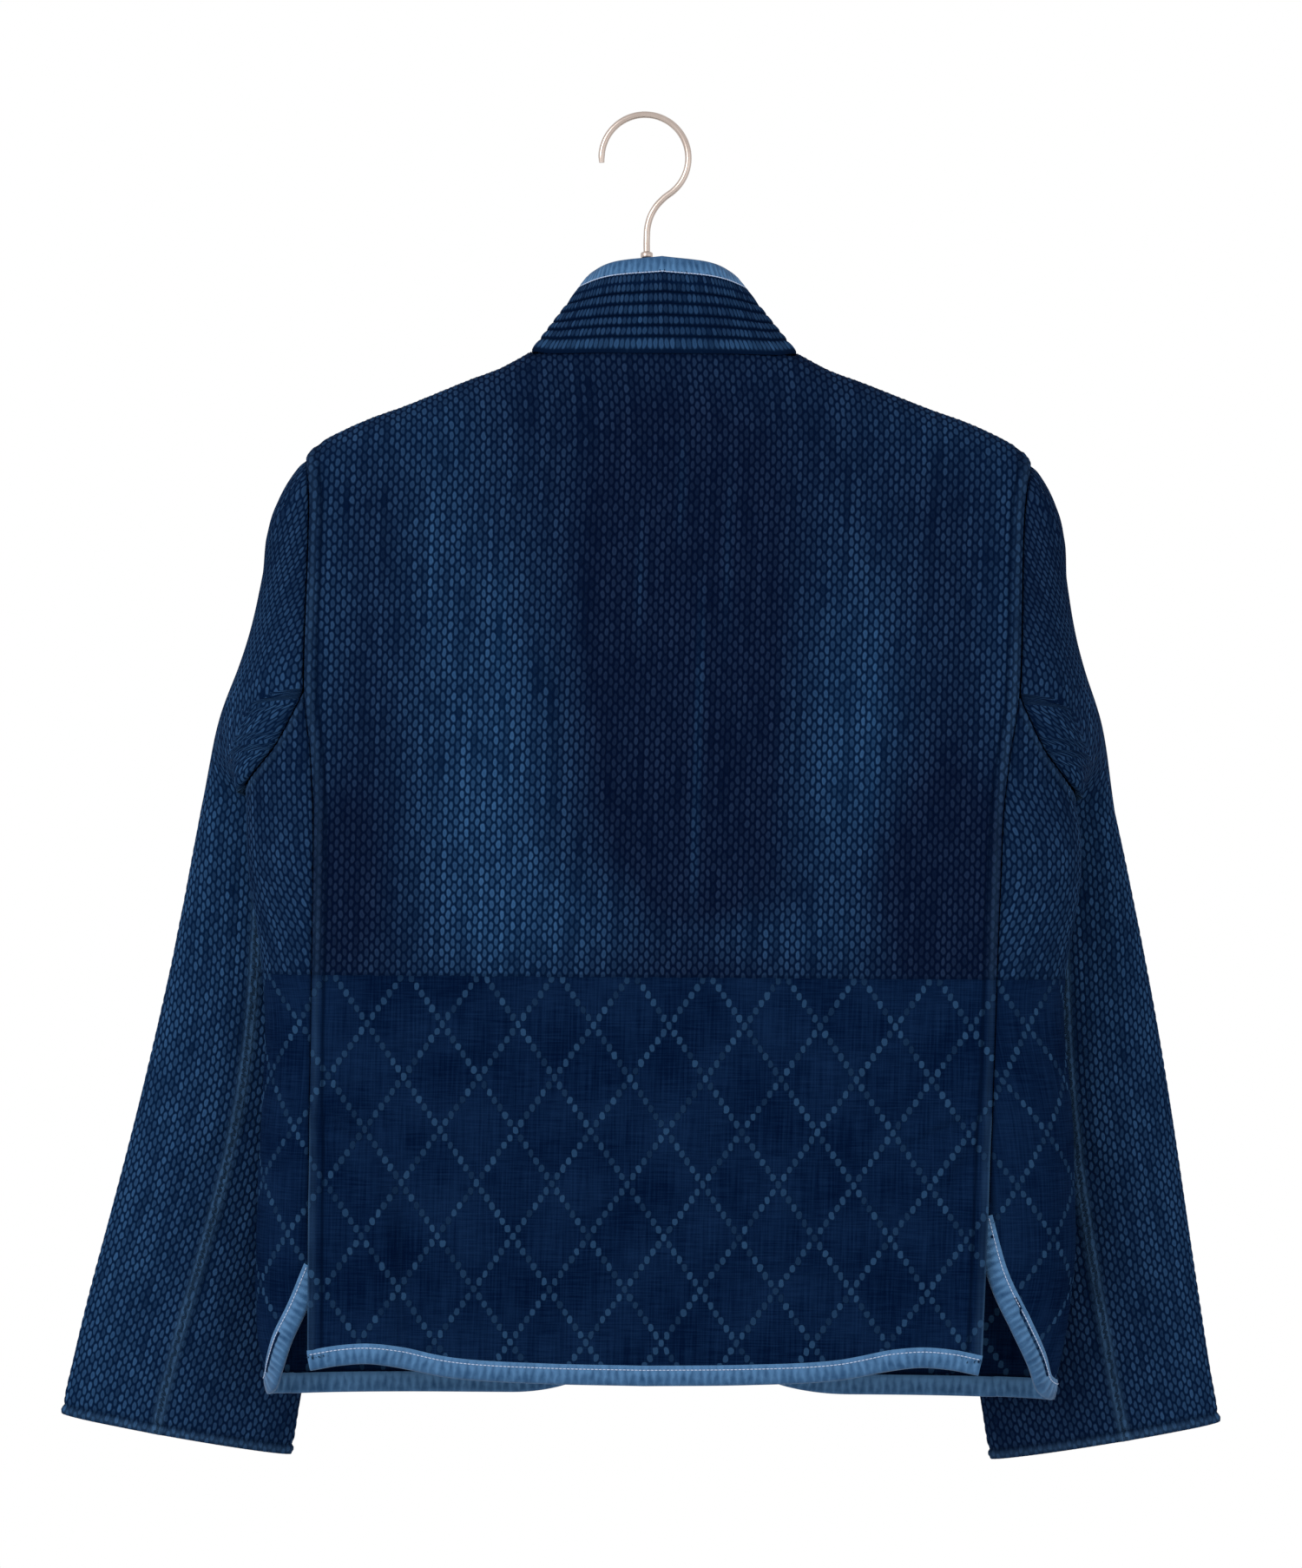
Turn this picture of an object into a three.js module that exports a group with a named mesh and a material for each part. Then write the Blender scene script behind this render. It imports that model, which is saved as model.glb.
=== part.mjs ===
// A short jacket of indigo rice-grain sashiko cloth, hung by its shoulders on a plain hanger.
// Millimetres, +Z up. The origin is the inside top of the hook, where a rail carries it.
// -Y is the side that the jacket's back faces, and +X is the wearer's right.

import * as THREE from 'three';

// Cloth
const WALL = 2.2;
const COLLAR_WALL = 3.2;
const SEAM_GAP = 0.3;
const SIDE_SEAM_GAP = 0.5;
const BINDING_WIDTH = 9.7;
const BINDING_PROUD = 0.7;
const BINDING_CROWN = 0.25;
const BINDING_GAP = 0.6;

// How the jacket hangs: it has slid along the hanger, so its middle line leans, and it tilts
const MIDDLE_LINE = [[-785, -1], [-523, 5.6], [-260, 12.6], [-190, 14.6], [-150, 12], [-86, 10.4]];
const TILT = 0.007;

// Shoulder line, neck and armhole
const NECK_X = 81.4;
const NECK_Z = -143.5;
const NECK_SLOPE = 0.4;
const BACK_NECK_Z = -145;
const FRONT_NECK = [[11, -204], [42, -190], [66, -166], [81.4, -143.5]];
const SHOULDER_TIP_X = 221;
const SHOULDER_LINE = [[81.4, -143.5], [100, -153.5], [120, -161], [160, -177], [181, -184.5],
  [200, -193], [213, -200.5], [221, -209]];
const SHOULDER_ROUND = 26;
const ARMHOLE_X = 216;
const ARMHOLE_CORNER_Z = -352;

// Lower edge of the armhole, by the fraction of the way from the side fold to the armhole's
// upright edge: -1 is behind, 0 at the armpit and 1 in front
const ARMHOLE_SCOOP = [[-1, -352], [-0.85, -366], [-0.52, -391], [0, -411], [0.48, -400],
  [0.85, -374], [1, -352]];

// Body: depths behind and in front of the side folds, and how far in from a fold each rounds
const BACK_DEPTH = [[-145, 22], [-260, 30], [-420, 34], [-780, 34]];
const FRONT_DEPTH = [[-145, 20], [-260, 24], [-420, 24], [-780, 26]];
const BACK_ROUND = 50;
const FRONT_ROUND = 110;
const SIDE_FOLD = {
  '-1': [[-405, 252], [-460, 249], [-507, 241], [-560, 236], [-650, 238], [-735, 237], [-782, 229]],
  1: [[-405, 252], [-440, 258], [-469, 258], [-535, 250], [-609, 257], [-660, 260], [-707, 260],
    [-782, 250]],
};
const BACK_EDGE = [[-209, 221], [-230, 217], [-262, 216], [-350, 216], [-390, 211], [-430, 208],
  [-602, 206], [-770, 203]];
const LOWER_PANEL_Z = -523;
const BACK_HEM = [[0, -769], [62, -768], [115, -765], [160, -756.5], [185, -757.5], [204, -761]];
const FRONT_HEM_Z = -781;
const FRONT_EDGE = { '-1': [[-204, 12], [-727, 12]], 1: [[-204, 12], [-727, 41]] };
const FRONT_CORNER = { '-1': [86, 50], 1: [100, 53] };

// Slits: height of the side panel's vent edge by the distance from the side seam
const SLIT_TOP_Z = -602;
const VENT = {
  '-1': [[0, -697], [9, -722], [19, -742], [27, -757], [36, -768], [60, -771]],
  1: [[0, -664], [10, -700], [24, -728], [38, -751], [48, -766], [72, -771]],
};
const SLIT_FLARE = 6;
const SLIT_FLARE_REACH = 34;
const FOLD_LINE = [[-590, 212], [-602, 204], [-638, 168], [-700, 163], [-760, 160]];
const FOLD_RISE = 4;
const FOLD_HALF = 14;

// Woven diamonds of the lower body: a quarter of a diamond is one step of the panels' grids
const DIAMOND_RELIEF = 0.9;
const DIAMOND_STEPS = 4;

// Sleeve: sections across the arm at the bicep and the cuff, and the way it leaves the armhole
const BICEP = { x: 217, y: 62, z: -436, half: 68, deep: 34, rise: 0.2 };
const CUFF = { x: 286.5, y: 45, z: -811.5, half: 72, deep: 17, rise: 0.17 };
const ARM_BOW = { '-1': -4, 1: 8 };
const ARM_FLARE = { '-1': 3.6, 1: 0 };
const ARM_FLARE_AT = 0.9;
const ARM_FLARE_REACH = 0.28;
const SLEEVE_SLOPE = 0.2;
const SEAM_TURN = [[0, -66], [0.45, -84], [1, -81]];
const ARMHOLE_GAP = 1.5;
const CAP_PULL = 1.12;
const CAP_EASE = 20;
const CAP_LEAVES = [
  { at: 0, way: [0.9, 0.3, -0.3] },
  { at: 0.12, way: [1, 0, 0] },
  { at: 0.28, way: [0.95, 0.1, -0.4] },
  { at: 0.5, way: [0.66, 0.1, -0.75] },
  { at: 0.62, way: [0.3, 0.5, -0.8] },
  { at: 0.75, way: [0, 0.7, -0.7] },
  { at: 0.9, way: [0.3, 0.8, -0.3] },
  { at: 1, way: [0.9, 0.3, -0.3] },
];
const CUFF_ROLL = [[14, 0], [6.2, -0.6], [3, 0.7], [0, 0]];

// Collar, right half from centre back to centre front: how far out its foot is on the neck's
// edge, and where its top edge passes
const COLLAR_STATIONS = [
  { at: 0, base: 0, top: [0, -18, -86] },
  { at: 0.2, base: 40, top: [28, -14, -89] },
  { at: 0.38, base: 69.2, top: [42, -4, -94.5] },
  { at: 0.47, base: 80.2, top: [46, 5, -99] },
  { at: 0.56, base: 74, top: [45, 16, -106] },
  { at: 0.7, base: 60, top: [40, 30, -119] },
  { at: 0.85, base: 37, top: [26, 41, -135] },
  { at: 1, base: 2, top: [3, 47, -152] },
];
const COLLAR_SIDE = 0.47;
const COLLAR_CLEAR = 0.7;
const COLLAR_HEIGHT = 59;
const COLLAR_HALF = 192;
const COLLAR_RIBS = 7;
const COLLAR_RELIEF = 1.2;

// Hanger
const WIRE = 4;
const HOOK_RADIUS = 26.5;
const HOOK_TIP_TURN = 186;
const HOOK_LEAVE_TURN = -48;
const HOOK_STEM = [[11, -49.5], [5.2, -56.5], [1.9, -65], [1.1, -74], [1.1, -81.6]];
const NECK_TUBE = [[-82, 3.2], [-82.6, 3.7], [-85.2, 3.7], [-85.8, 2.9], [-126.5, 2.9]];
const HANGER_TOP = [[0, -127], [25, -133], [66, -149], [105, -167], [145, -183], [166, -190.5],
  [185, -199], [196, -206]];
const HANGER_HALF = 196;
const HANGER_SECTION = [[0, 0], [4, -1.8], [6, -6], [6, -18], [4, -22.6], [0, -24], [-4, -22.6],
  [-6, -18], [-6, -6], [-4, -1.8]];

const clamp = (value, low, high) => Math.min(high, Math.max(low, value));
const lerp = (a, b, t) => a + (b - a) * t;
const vec = (x = 0, y = 0, z = 0) => new THREE.Vector3(x, y, z);

// A smooth line through a few hand-set points [at, value], level beyond its ends
function profile(points) {
  const ordered = [...points].sort((a, b) => a[0] - b[0]);
  const last = ordered.length - 1;
  const slope = ordered.map((point, k) => {
    const before = ordered[Math.max(k - 1, 0)];
    const after = ordered[Math.min(k + 1, last)];
    return (after[1] - before[1]) / (after[0] - before[0]);
  });
  return (at) => {
    if (at <= ordered[0][0]) return ordered[0][1];
    if (at >= ordered[last][0]) return ordered[last][1];
    const k = ordered.findIndex((point) => point[0] > at) - 1;
    const span = ordered[k + 1][0] - ordered[k][0];
    const t = (at - ordered[k][0]) / span;
    const rise = t * t * (3 - 2 * t);
    const leave = t * (1 - t) * (1 - t) * span * slope[k];
    const arrive = t * t * (1 - t) * span * slope[k + 1];
    return lerp(ordered[k][1], ordered[k + 1][1], rise) + leave - arrive;
  };
}

// A quarter-round easing: 0 at a fold or ridge, 1 where the cloth lies flat
const roundOff = (t) => Math.sqrt(1 - (1 - clamp(t, 0, 1)) ** 2);

const shoulderLine = profile(SHOULDER_LINE);
const shoulderZ = (x) => (Math.abs(x) < NECK_X
  ? NECK_Z + NECK_SLOPE * (NECK_X - Math.abs(x)) : shoulderLine(Math.abs(x)));
const frontNeck = profile(FRONT_NECK);
const backDepth = profile(BACK_DEPTH);
const frontDepth = profile(FRONT_DEPTH);
const backEdge = profile(BACK_EDGE);
const backHem = profile(BACK_HEM);
const armholeScoop = profile(ARMHOLE_SCOOP);
const foldLine = profile(FOLD_LINE);
const sideFold = { '-1': profile(SIDE_FOLD['-1']), 1: profile(SIDE_FOLD[1]) };
const frontEdge = { '-1': profile(FRONT_EDGE['-1']), 1: profile(FRONT_EDGE[1]) };
const vent = { '-1': profile(VENT['-1']), 1: profile(VENT[1]) };

// The slits' soft folds: from each slit's top a ridge runs inwards, then down to the hem, and
// the panel's corner stands off the side panel
function slitFold(x, z) {
  const from = Math.abs(x) - foldLine(z);
  const begins = clamp((-592 - z) / 30, 0, 1);
  const ridge = Math.exp(-((from / FOLD_HALF) ** 2));
  const opens = clamp((SLIT_TOP_Z - z) / 60, 0, 1);
  const corner = Math.exp(-(((backEdge(z) - Math.abs(x)) / SLIT_FLARE_REACH) ** 2));
  return begins * FOLD_RISE * ridge + opens * opens * SLIT_FLARE * corner;
}

// The back's outer face: x across, z up
function backPoint(x, z) {
  const fold = sideFold[x < 0 ? -1 : 1](z);
  const depth = backDepth(z) * roundOff((shoulderZ(x) - z) / SHOULDER_ROUND)
    * roundOff((fold - Math.abs(x)) / BACK_ROUND);
  return vec(x, -Math.max(depth, SEAM_GAP / 2) - slitFold(x, z), z);
}

// How far in and out a girth measured from the tip of a quarter ellipse reaches
const ARC_STEPS = 48;
function alongEllipse(half, deep, girth) {
  let length = 0;
  let inward = 0;
  let out = 0;
  for (let k = 1; k <= ARC_STEPS; k += 1) {
    const turn = (k / ARC_STEPS) * Math.PI / 2;
    const nextIn = half * (1 - Math.cos(turn));
    const nextOut = deep * Math.sin(turn);
    const step = Math.hypot(nextIn - inward, nextOut - out);
    if (length + step >= girth) {
      const t = (girth - length) / step;
      return [lerp(inward, nextIn, t), lerp(out, nextOut, t)];
    }
    length += step;
    inward = nextIn;
    out = nextOut;
  }
  return [inward + girth - length, deep];
}

// The girth at which such an ellipse is a given way in from its tip
function girthAt(half, deep, inward) {
  let low = 0;
  let high = inward + deep + half;
  while (high - low > 1e-6) {
    const middle = (low + high) / 2;
    if (alongEllipse(half, deep, middle)[0] < inward) low = middle;
    else high = middle;
  }
  return low;
}

const seamGirth = (side, z) => -girthAt(BACK_ROUND, backDepth(z), sideFold[side](z) - backEdge(z));
const armGirth = (side, z) => girthAt(FRONT_ROUND, frontDepth(z), sideFold[side](z) - ARMHOLE_X);

// The front and side panel's outer face. Its girth is 0 at the side fold, negative behind
// it and positive in front, where it is measured straight across from the armhole's edge.
function frontPoint(side, girth, z) {
  const fold = sideFold[side](z);
  if (girth < 0) {
    const [inward, out] = alongEllipse(BACK_ROUND, backDepth(z), -girth);
    return vec(side * (fold - inward), -out, z);
  }
  const turn = armGirth(side, z);
  const [inward, curved] = alongEllipse(FRONT_ROUND, frontDepth(z), Math.min(girth, turn));
  const x = fold - inward - Math.max(girth - turn, 0);
  const out = girth > turn ? frontDepth(z) * roundOff((fold - x) / FRONT_ROUND) : curved;
  const y = out * roundOff((shoulderZ(x) - z) / SHOULDER_ROUND);
  return vec(side * x, z > ARMHOLE_CORNER_Z ? Math.max(y, SEAM_GAP / 2) : y, z);
}

// Outward direction of a face given by two parameters
const FEELER = 0.05;
function normalOf(face, a, b, outward) {
  const across = face(a + FEELER, b).sub(face(a - FEELER, b));
  const down = face(a, b + FEELER).sub(face(a, b - FEELER));
  const normal = across.cross(down).normalize();
  return normal.dot(outward) < 0 ? normal.negate() : normal;
}

const UP = vec(0, 0, 1);
const onRidge = (x, z) => shoulderZ(x) - z < 0.4;
const backNormal = (x, z) => (onRidge(x, z) ? UP : normalOf(backPoint, x, z, vec(0, -1, 0)));
function frontNormal(side, girth, z) {
  const point = frontPoint(side, girth, z);
  if (onRidge(point.x, z)) return UP;
  const middle = vec(side * (sideFold[side](z) - BACK_ROUND), 0, z);
  const outward = girth > FRONT_ROUND / 2 ? vec(0, 1, 0) : point.clone().sub(middle);
  return normalOf((a, b) => frontPoint(side, a, b), girth, z, outward);
}

// A point moved out from a face, or in where the distance is negative
const backCloth = (x, z, out) => backPoint(x, z).addScaledVector(backNormal(x, z), out);
const frontCloth = (side) => (girth, z, out) => frontPoint(side, girth, z)
  .addScaledVector(frontNormal(side, girth, z), out);

// Lean and tilt of the hanging jacket, put on each point of its cloth last
const middleLine = profile(MIDDLE_LINE);
const hang = (p) => vec(p.x + middleLine(p.z), p.y, p.z - TILT * p.x);

// One closed solid from its points and triangles, turned so that its faces point out
function solid(points, triangles) {
  let volume = 0;
  for (const [a, b, c] of triangles) {
    volume += points[a].dot(vec().crossVectors(points[b], points[c]));
  }
  const geometry = new THREE.BufferGeometry();
  const places = points.flatMap((p) => [p.x, p.y, p.z]);
  geometry.setAttribute('position', new THREE.Float32BufferAttribute(places, 3));
  geometry.setIndex(triangles.flatMap(([a, b, c]) => (volume < 0 ? [a, c, b] : [a, b, c])));
  geometry.computeVertexNormals();
  return geometry;
}

// A cloth wall over a grid: its outer face has every point and its plain inside every second
// one, or every one where the cloth bends sharply. place(i, j) gives [outer, inner], has(i, j)
// says which cells exist, slant(i, j) which way a cell's diagonal runs, and a ring joins its
// last column to its first.
function clothWall({ rows, columns, place, has = () => true, slant = () => true, ring = false,
  plain = 2 }) {
  const exists = (i, j) => i >= 0 && i < rows && (ring || (j >= 0 && j < columns))
    && has(i, (j + columns) % columns);
  const points = [];
  const known = new Map();
  const at = (layer, i, j) => {
    const column = ring ? j % columns : j;
    const key = `${layer} ${i} ${column}`;
    if (!known.has(key)) {
      known.set(key, points.length);
      points.push(hang(place(i, column)[layer]));
    }
    return known.get(key);
  };
  const corners = (layer, i, j, step) => [
    at(layer, i, j), at(layer, i, j + step), at(layer, i + step, j + step), at(layer, i + step, j),
  ];
  const triangles = [];
  for (let i = 0; i < rows; i += 1) {
    for (let j = 0; j < columns; j += 1) {
      if (!exists(i, j)) continue;
      const [a, b, c, d] = corners(0, i, j, 1);
      if (slant(i, j)) triangles.push([a, b, c], [a, c, d]);
      else triangles.push([a, b, d], [b, c, d]);
    }
  }
  const rim = (start, end) => {
    const a = at(0, ...start);
    const m = plain > 1 ? at(0, (start[0] + end[0]) / 2, (start[1] + end[1]) / 2) : a;
    const b = at(0, ...end);
    if (m !== a) triangles.push([m, a, at(1, ...start)]);
    triangles.push([m, at(1, ...start), at(1, ...end)], [b, m, at(1, ...end)]);
  };
  for (let i = 0; i < rows; i += plain) {
    for (let j = 0; j < columns; j += plain) {
      if (!exists(i, j)) continue;
      const [a, b, c, d] = corners(1, i, j, plain);
      triangles.push([a, c, b], [a, d, c]);
      if (!exists(i - 1, j)) rim([i, j], [i, j + plain]);
      if (!exists(i, j + plain)) rim([i, j + plain], [i + plain, j + plain]);
      if (!exists(i + plain, j)) rim([i + plain, j + plain], [i + plain, j]);
      if (!exists(i, j - 1)) rim([i + plain, j], [i, j]);
    }
  }
  return solid(points, triangles);
}

// A solid through loops of the same number of points, with flat ends
function loopSweep(loops) {
  const sides = loops[0].length;
  const triangles = [];
  for (let k = 0; k + 1 < loops.length; k += 1) {
    for (let s = 0; s < sides; s += 1) {
      const a = k * sides + s;
      const b = k * sides + ((s + 1) % sides);
      triangles.push([a, b, b + sides], [a, b + sides, a + sides]);
    }
  }
  const last = (loops.length - 1) * sides;
  for (let s = 1; s + 1 < sides; s += 1) {
    triangles.push([0, s + 1, s], [last, last + s, last + s + 1]);
  }
  return solid(loops.flat(), triangles);
}

// Folded tape along a cloth's edge. path holds the edge's points on the cloth, cloth(a, b,
// out) gives their place, and unit is how many millimetres one step of a and of b is.
function binding(path, cloth, wall, unit = [1, 1]) {
  const away = BINDING_PROUD;
  const section = [
    [0, away], [BINDING_WIDTH / 2, away + BINDING_CROWN], [BINDING_WIDTH - 0.8, away - 0.1],
    [BINDING_WIDTH, -wall / 2], [BINDING_WIDTH - 0.8, 0.1 - wall - away],
    [BINDING_WIDTH / 2, -wall - away - BINDING_CROWN], [0, -wall - away],
  ];
  const loops = path.map(([a, b], k) => {
    const [a0, b0] = path[Math.max(k - 1, 0)];
    const [a1, b1] = path[Math.min(k + 1, path.length - 1)];
    const along = [(a1 - a0) * unit[0], (b1 - b0) * unit[1]];
    const length = Math.hypot(...along);
    const way = [along[1] / length / unit[0], -along[0] / length / unit[1]];
    return section.map(([reach, out]) => {
      const far = BINDING_GAP + reach;
      return hang(cloth(a + way[0] * far, b + way[1] * far, out));
    });
  });
  return loopSweep(loops);
}

const jacket = new THREE.Group();
function add(name, geometry, [color, roughness, metalness = 0]) {
  const mesh = new THREE.Mesh(geometry, new THREE.MeshStandardMaterial({ color, roughness, metalness }));
  mesh.name = name;
  jacket.add(mesh);
}
const INDIGO = [0x14304f, 0.95];
const QUILTED_INDIGO = [0x122039, 0.95];
const FADED_TAPE = [0x517394, 0.9];
const STEEL = [0xa7978e, 0.35, 1];
const WOOD = [0xb08a5e, 0.6];

// Heights of a panel's rows: round over the shoulder, even below, then the diamonds' steps
const RIDGE_ROWS = 4;
const UPPER_ROWS = 4;
const MIDDLE_ROWS = 4;
const DIAMOND_ROWS = 14;
const SCOOP_ROW = RIDGE_ROWS + UPPER_ROWS;
const ridgeFall = (row) => SHOULDER_ROUND * (1 - Math.cos((row / RIDGE_ROWS) * Math.PI / 2));

// Whether a cell's corner and its cell lie on the woven diamonds, from their first crossing
const onDiamond = (i, j) => (i + j) % DIAMOND_STEPS === 0 || (i - j) % DIAMOND_STEPS === 0;
const slantsWithDiamond = (i, j) => (i - j) % DIAMOND_STEPS === 0 || (i + j + 1) % DIAMOND_STEPS !== 0;

// Back panel
const BACK_COLUMNS = 38;
const BACK_DIAMONDS_ROW = SCOOP_ROW + MIDDLE_ROWS;
const BACK_ROWS = BACK_DIAMONDS_ROW + DIAMOND_ROWS;
const BACK_CROSSING = [BACK_DIAMONDS_ROW + 2, 20];
function backPlace(row, column) {
  const across = (2 * column) / BACK_COLUMNS - 1;
  const topX = across * SHOULDER_TIP_X;
  const atNeck = Math.abs(topX) < NECK_X - 1;
  const top = atNeck ? BACK_NECK_Z : shoulderZ(topX);
  const foot = backHem(Math.abs(across) * backEdge(-760)) + BINDING_WIDTH;
  let z = lerp(LOWER_PANEL_Z, foot, (row - BACK_DIAMONDS_ROW) / DIAMOND_ROWS);
  if (row <= RIDGE_ROWS) z = top - (atNeck ? SHOULDER_ROUND * (row / RIDGE_ROWS) : ridgeFall(row));
  else if (row <= SCOOP_ROW) {
    z = lerp(top - SHOULDER_ROUND, ARMHOLE_CORNER_Z, (row - RIDGE_ROWS) / UPPER_ROWS);
  } else if (row < BACK_DIAMONDS_ROW) {
    z = lerp(ARMHOLE_CORNER_Z, LOWER_PANEL_Z, (row - SCOOP_ROW) / MIDDLE_ROWS);
  }
  return [across * (backEdge(z) - SIDE_SEAM_GAP / 2), z];
}
add('back_panel', clothWall({
  rows: BACK_ROWS,
  columns: BACK_COLUMNS,
  place: (i, j) => {
    const [x, z] = backPlace(i, j);
    const rises = i > BACK_DIAMONDS_ROW && i < BACK_ROWS
      && onDiamond(i - BACK_CROSSING[0], j - BACK_CROSSING[1]);
    return [backCloth(x, z, rises ? DIAMOND_RELIEF : 0), backCloth(x, z, -WALL)];
  },
  slant: (i, j) => slantsWithDiamond(i - BACK_CROSSING[0], j - BACK_CROSSING[1]),
}), INDIGO);
const backFoot = Array.from({ length: BACK_COLUMNS + 1 }, (_, j) => backPlace(BACK_ROWS, j));
add('back_hem_binding', binding(backFoot, backCloth, WALL), FADED_TAPE);

// Front and side panels, each from the side-back seam round the fold to the front edge
const SIDE_COLUMNS = 10;
const FRONT_COLUMNS = 28;
const FRONT_DIAMONDS_ROW = SCOOP_ROW + MIDDLE_ROWS;
const FRONT_ROWS = FRONT_DIAMONDS_ROW + DIAMOND_ROWS;
const FRONT_CROSSING = [FRONT_DIAMONDS_ROW + 2, 2];

// Height of the front's lower edge, before its tape, at a column
function frontFoot(side, column) {
  const hem = FRONT_HEM_Z + BINDING_WIDTH;
  if (column <= SIDE_COLUMNS) {
    const around = (column / SIDE_COLUMNS) * (armGirth(side, hem) - seamGirth(side, hem));
    return vent[side](around);
  }
  const [reach, rise] = FRONT_CORNER[side];
  const t = (column - SIDE_COLUMNS) / (FRONT_COLUMNS - SIDE_COLUMNS);
  const fromEdge = (1 - t) * (ARMHOLE_X - frontEdge[side](hem));
  return hem + rise * (1 - roundOff(fromEdge / (reach - BINDING_WIDTH)));
}

// Columns draw together towards the front corner, which curves
const columnSpread = (t) => t + 0.22 * t * t * (1 - t);

function frontPlace(side, row, column) {
  const t = columnSpread(clamp((column - SIDE_COLUMNS) / (FRONT_COLUMNS - SIDE_COLUMNS), 0, 1));
  const topX = lerp(SHOULDER_TIP_X, frontEdge[side](FRONT_NECK[0][1]), t);
  const top = topX < NECK_X - 1 ? frontNeck(topX) : shoulderZ(topX);
  const scoopAt = 2 * (column / SIDE_COLUMNS) - 1;
  const scoop = column < SIDE_COLUMNS ? armholeScoop(scoopAt) : ARMHOLE_CORNER_Z;
  let z = lerp(LOWER_PANEL_Z, frontFoot(side, column), (row - FRONT_DIAMONDS_ROW) / DIAMOND_ROWS);
  if (row <= RIDGE_ROWS) z = top - ridgeFall(row);
  else if (row <= SCOOP_ROW) {
    z = lerp(top - SHOULDER_ROUND, scoop, (row - RIDGE_ROWS) / UPPER_ROWS);
  } else if (row < FRONT_DIAMONDS_ROW) {
    z = lerp(scoop, LOWER_PANEL_Z, (row - SCOOP_ROW) / MIDDLE_ROWS);
  }
  if (row === SCOOP_ROW) z = scoop;
  const behind = seamGirth(side, z) + SIDE_SEAM_GAP / 2;
  if (column < SIDE_COLUMNS) {
    const corner = armGirth(side, z);
    const girth = scoopAt < 0 ? -scoopAt * behind : scoopAt * corner;
    return [row > FRONT_DIAMONDS_ROW ? lerp(behind, corner, column / SIDE_COLUMNS) : girth, z];
  }
  const edge = row <= SCOOP_ROW ? backEdge(z) : ARMHOLE_X;
  const x = lerp(edge, frontEdge[side](z), t);
  return [armGirth(side, z) + ARMHOLE_X - x, z];
}

for (const [side, name] of [[-1, 'left'], [1, 'right']]) {
  const cloth = frontCloth(side);
  add(`front_${name}`, clothWall({
    rows: FRONT_ROWS,
    columns: FRONT_COLUMNS,
    has: (i, j) => i >= SCOOP_ROW || j >= SIDE_COLUMNS,
    place: (i, j) => {
      const [girth, z] = frontPlace(side, i, j);
      const rises = i > FRONT_DIAMONDS_ROW && i < FRONT_ROWS
        && onDiamond(i - FRONT_CROSSING[0], j - FRONT_CROSSING[1]);
      return [cloth(girth, z, rises ? DIAMOND_RELIEF : 0), cloth(girth, z, -WALL)];
    },
    slant: (i, j) => slantsWithDiamond(i - FRONT_CROSSING[0], j - FRONT_CROSSING[1]),
  }), INDIGO);

  const edge = [];
  for (let i = 0; i < FRONT_ROWS; i += 1) edge.push(frontPlace(side, i, FRONT_COLUMNS));
  for (let j = FRONT_COLUMNS; j >= 0; j -= 1) edge.push(frontPlace(side, FRONT_ROWS, j));
  add(`front_binding_${name}`, binding(edge.map(([girth, z]) => [-girth, z]),
    (a, b, out) => cloth(-a, b, out), WALL), FADED_TAPE);
}

// The armhole's loop on the body, from the armpit up behind, over the shoulder tip and down in
// front
function armholeLoop(side) {
  const stops = [];
  for (let k = 0; k < 10; k += 1) {
    const z = armholeScoop(-k / 10);
    stops.push(frontPoint(side, (k / 10) * (seamGirth(side, z) + SEAM_GAP / 2), z));
  }
  for (let k = 0; k <= 12; k += 1) {
    const z = lerp(ARMHOLE_CORNER_Z, shoulderZ(SHOULDER_TIP_X), Math.sin((k / 12) * Math.PI / 2));
    stops.push(backPoint(side * backEdge(z), z));
  }
  for (let k = 11; k >= 0; k -= 1) {
    const z = lerp(ARMHOLE_CORNER_Z, shoulderZ(SHOULDER_TIP_X), Math.sin((k / 12) * Math.PI / 2));
    stops.push(frontPoint(side, armGirth(side, z) + ARMHOLE_X - backEdge(z), z));
  }
  for (let k = 9; k >= 0; k -= 1) {
    const z = armholeScoop(k / 10);
    stops.push(frontPoint(side, (k / 10) * armGirth(side, z), z));
  }
  return stops;
}

// The place a given part of the way round a loop of stops
function roundLoop(stops, part) {
  const lengths = [0];
  for (let k = 1; k < stops.length; k += 1) {
    lengths.push(lengths[k - 1] + stops[k].distanceTo(stops[k - 1]));
  }
  const target = part * lengths[lengths.length - 1];
  const k = clamp(lengths.findIndex((length) => length >= target), 1, stops.length - 1);
  const t = (target - lengths[k - 1]) / (lengths[k] - lengths[k - 1]);
  return stops[k - 1].clone().lerp(stops[k], t);
}

// Sleeves: a cap that turns from the armhole down to the bicep, then a tube to the cuff
const SLEEVE_COLUMNS = 24;
const CAP_ROWS = 8;
const ARM_ROWS = 10;
const seamTurn = profile(SEAM_TURN);
const capLeaves = [0, 1, 2].map((axis) => profile(CAP_LEAVES.map(({ at, way }) => [at, way[axis]])));
const armDown = vec(SLEEVE_SLOPE, 0, -1).normalize();

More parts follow.
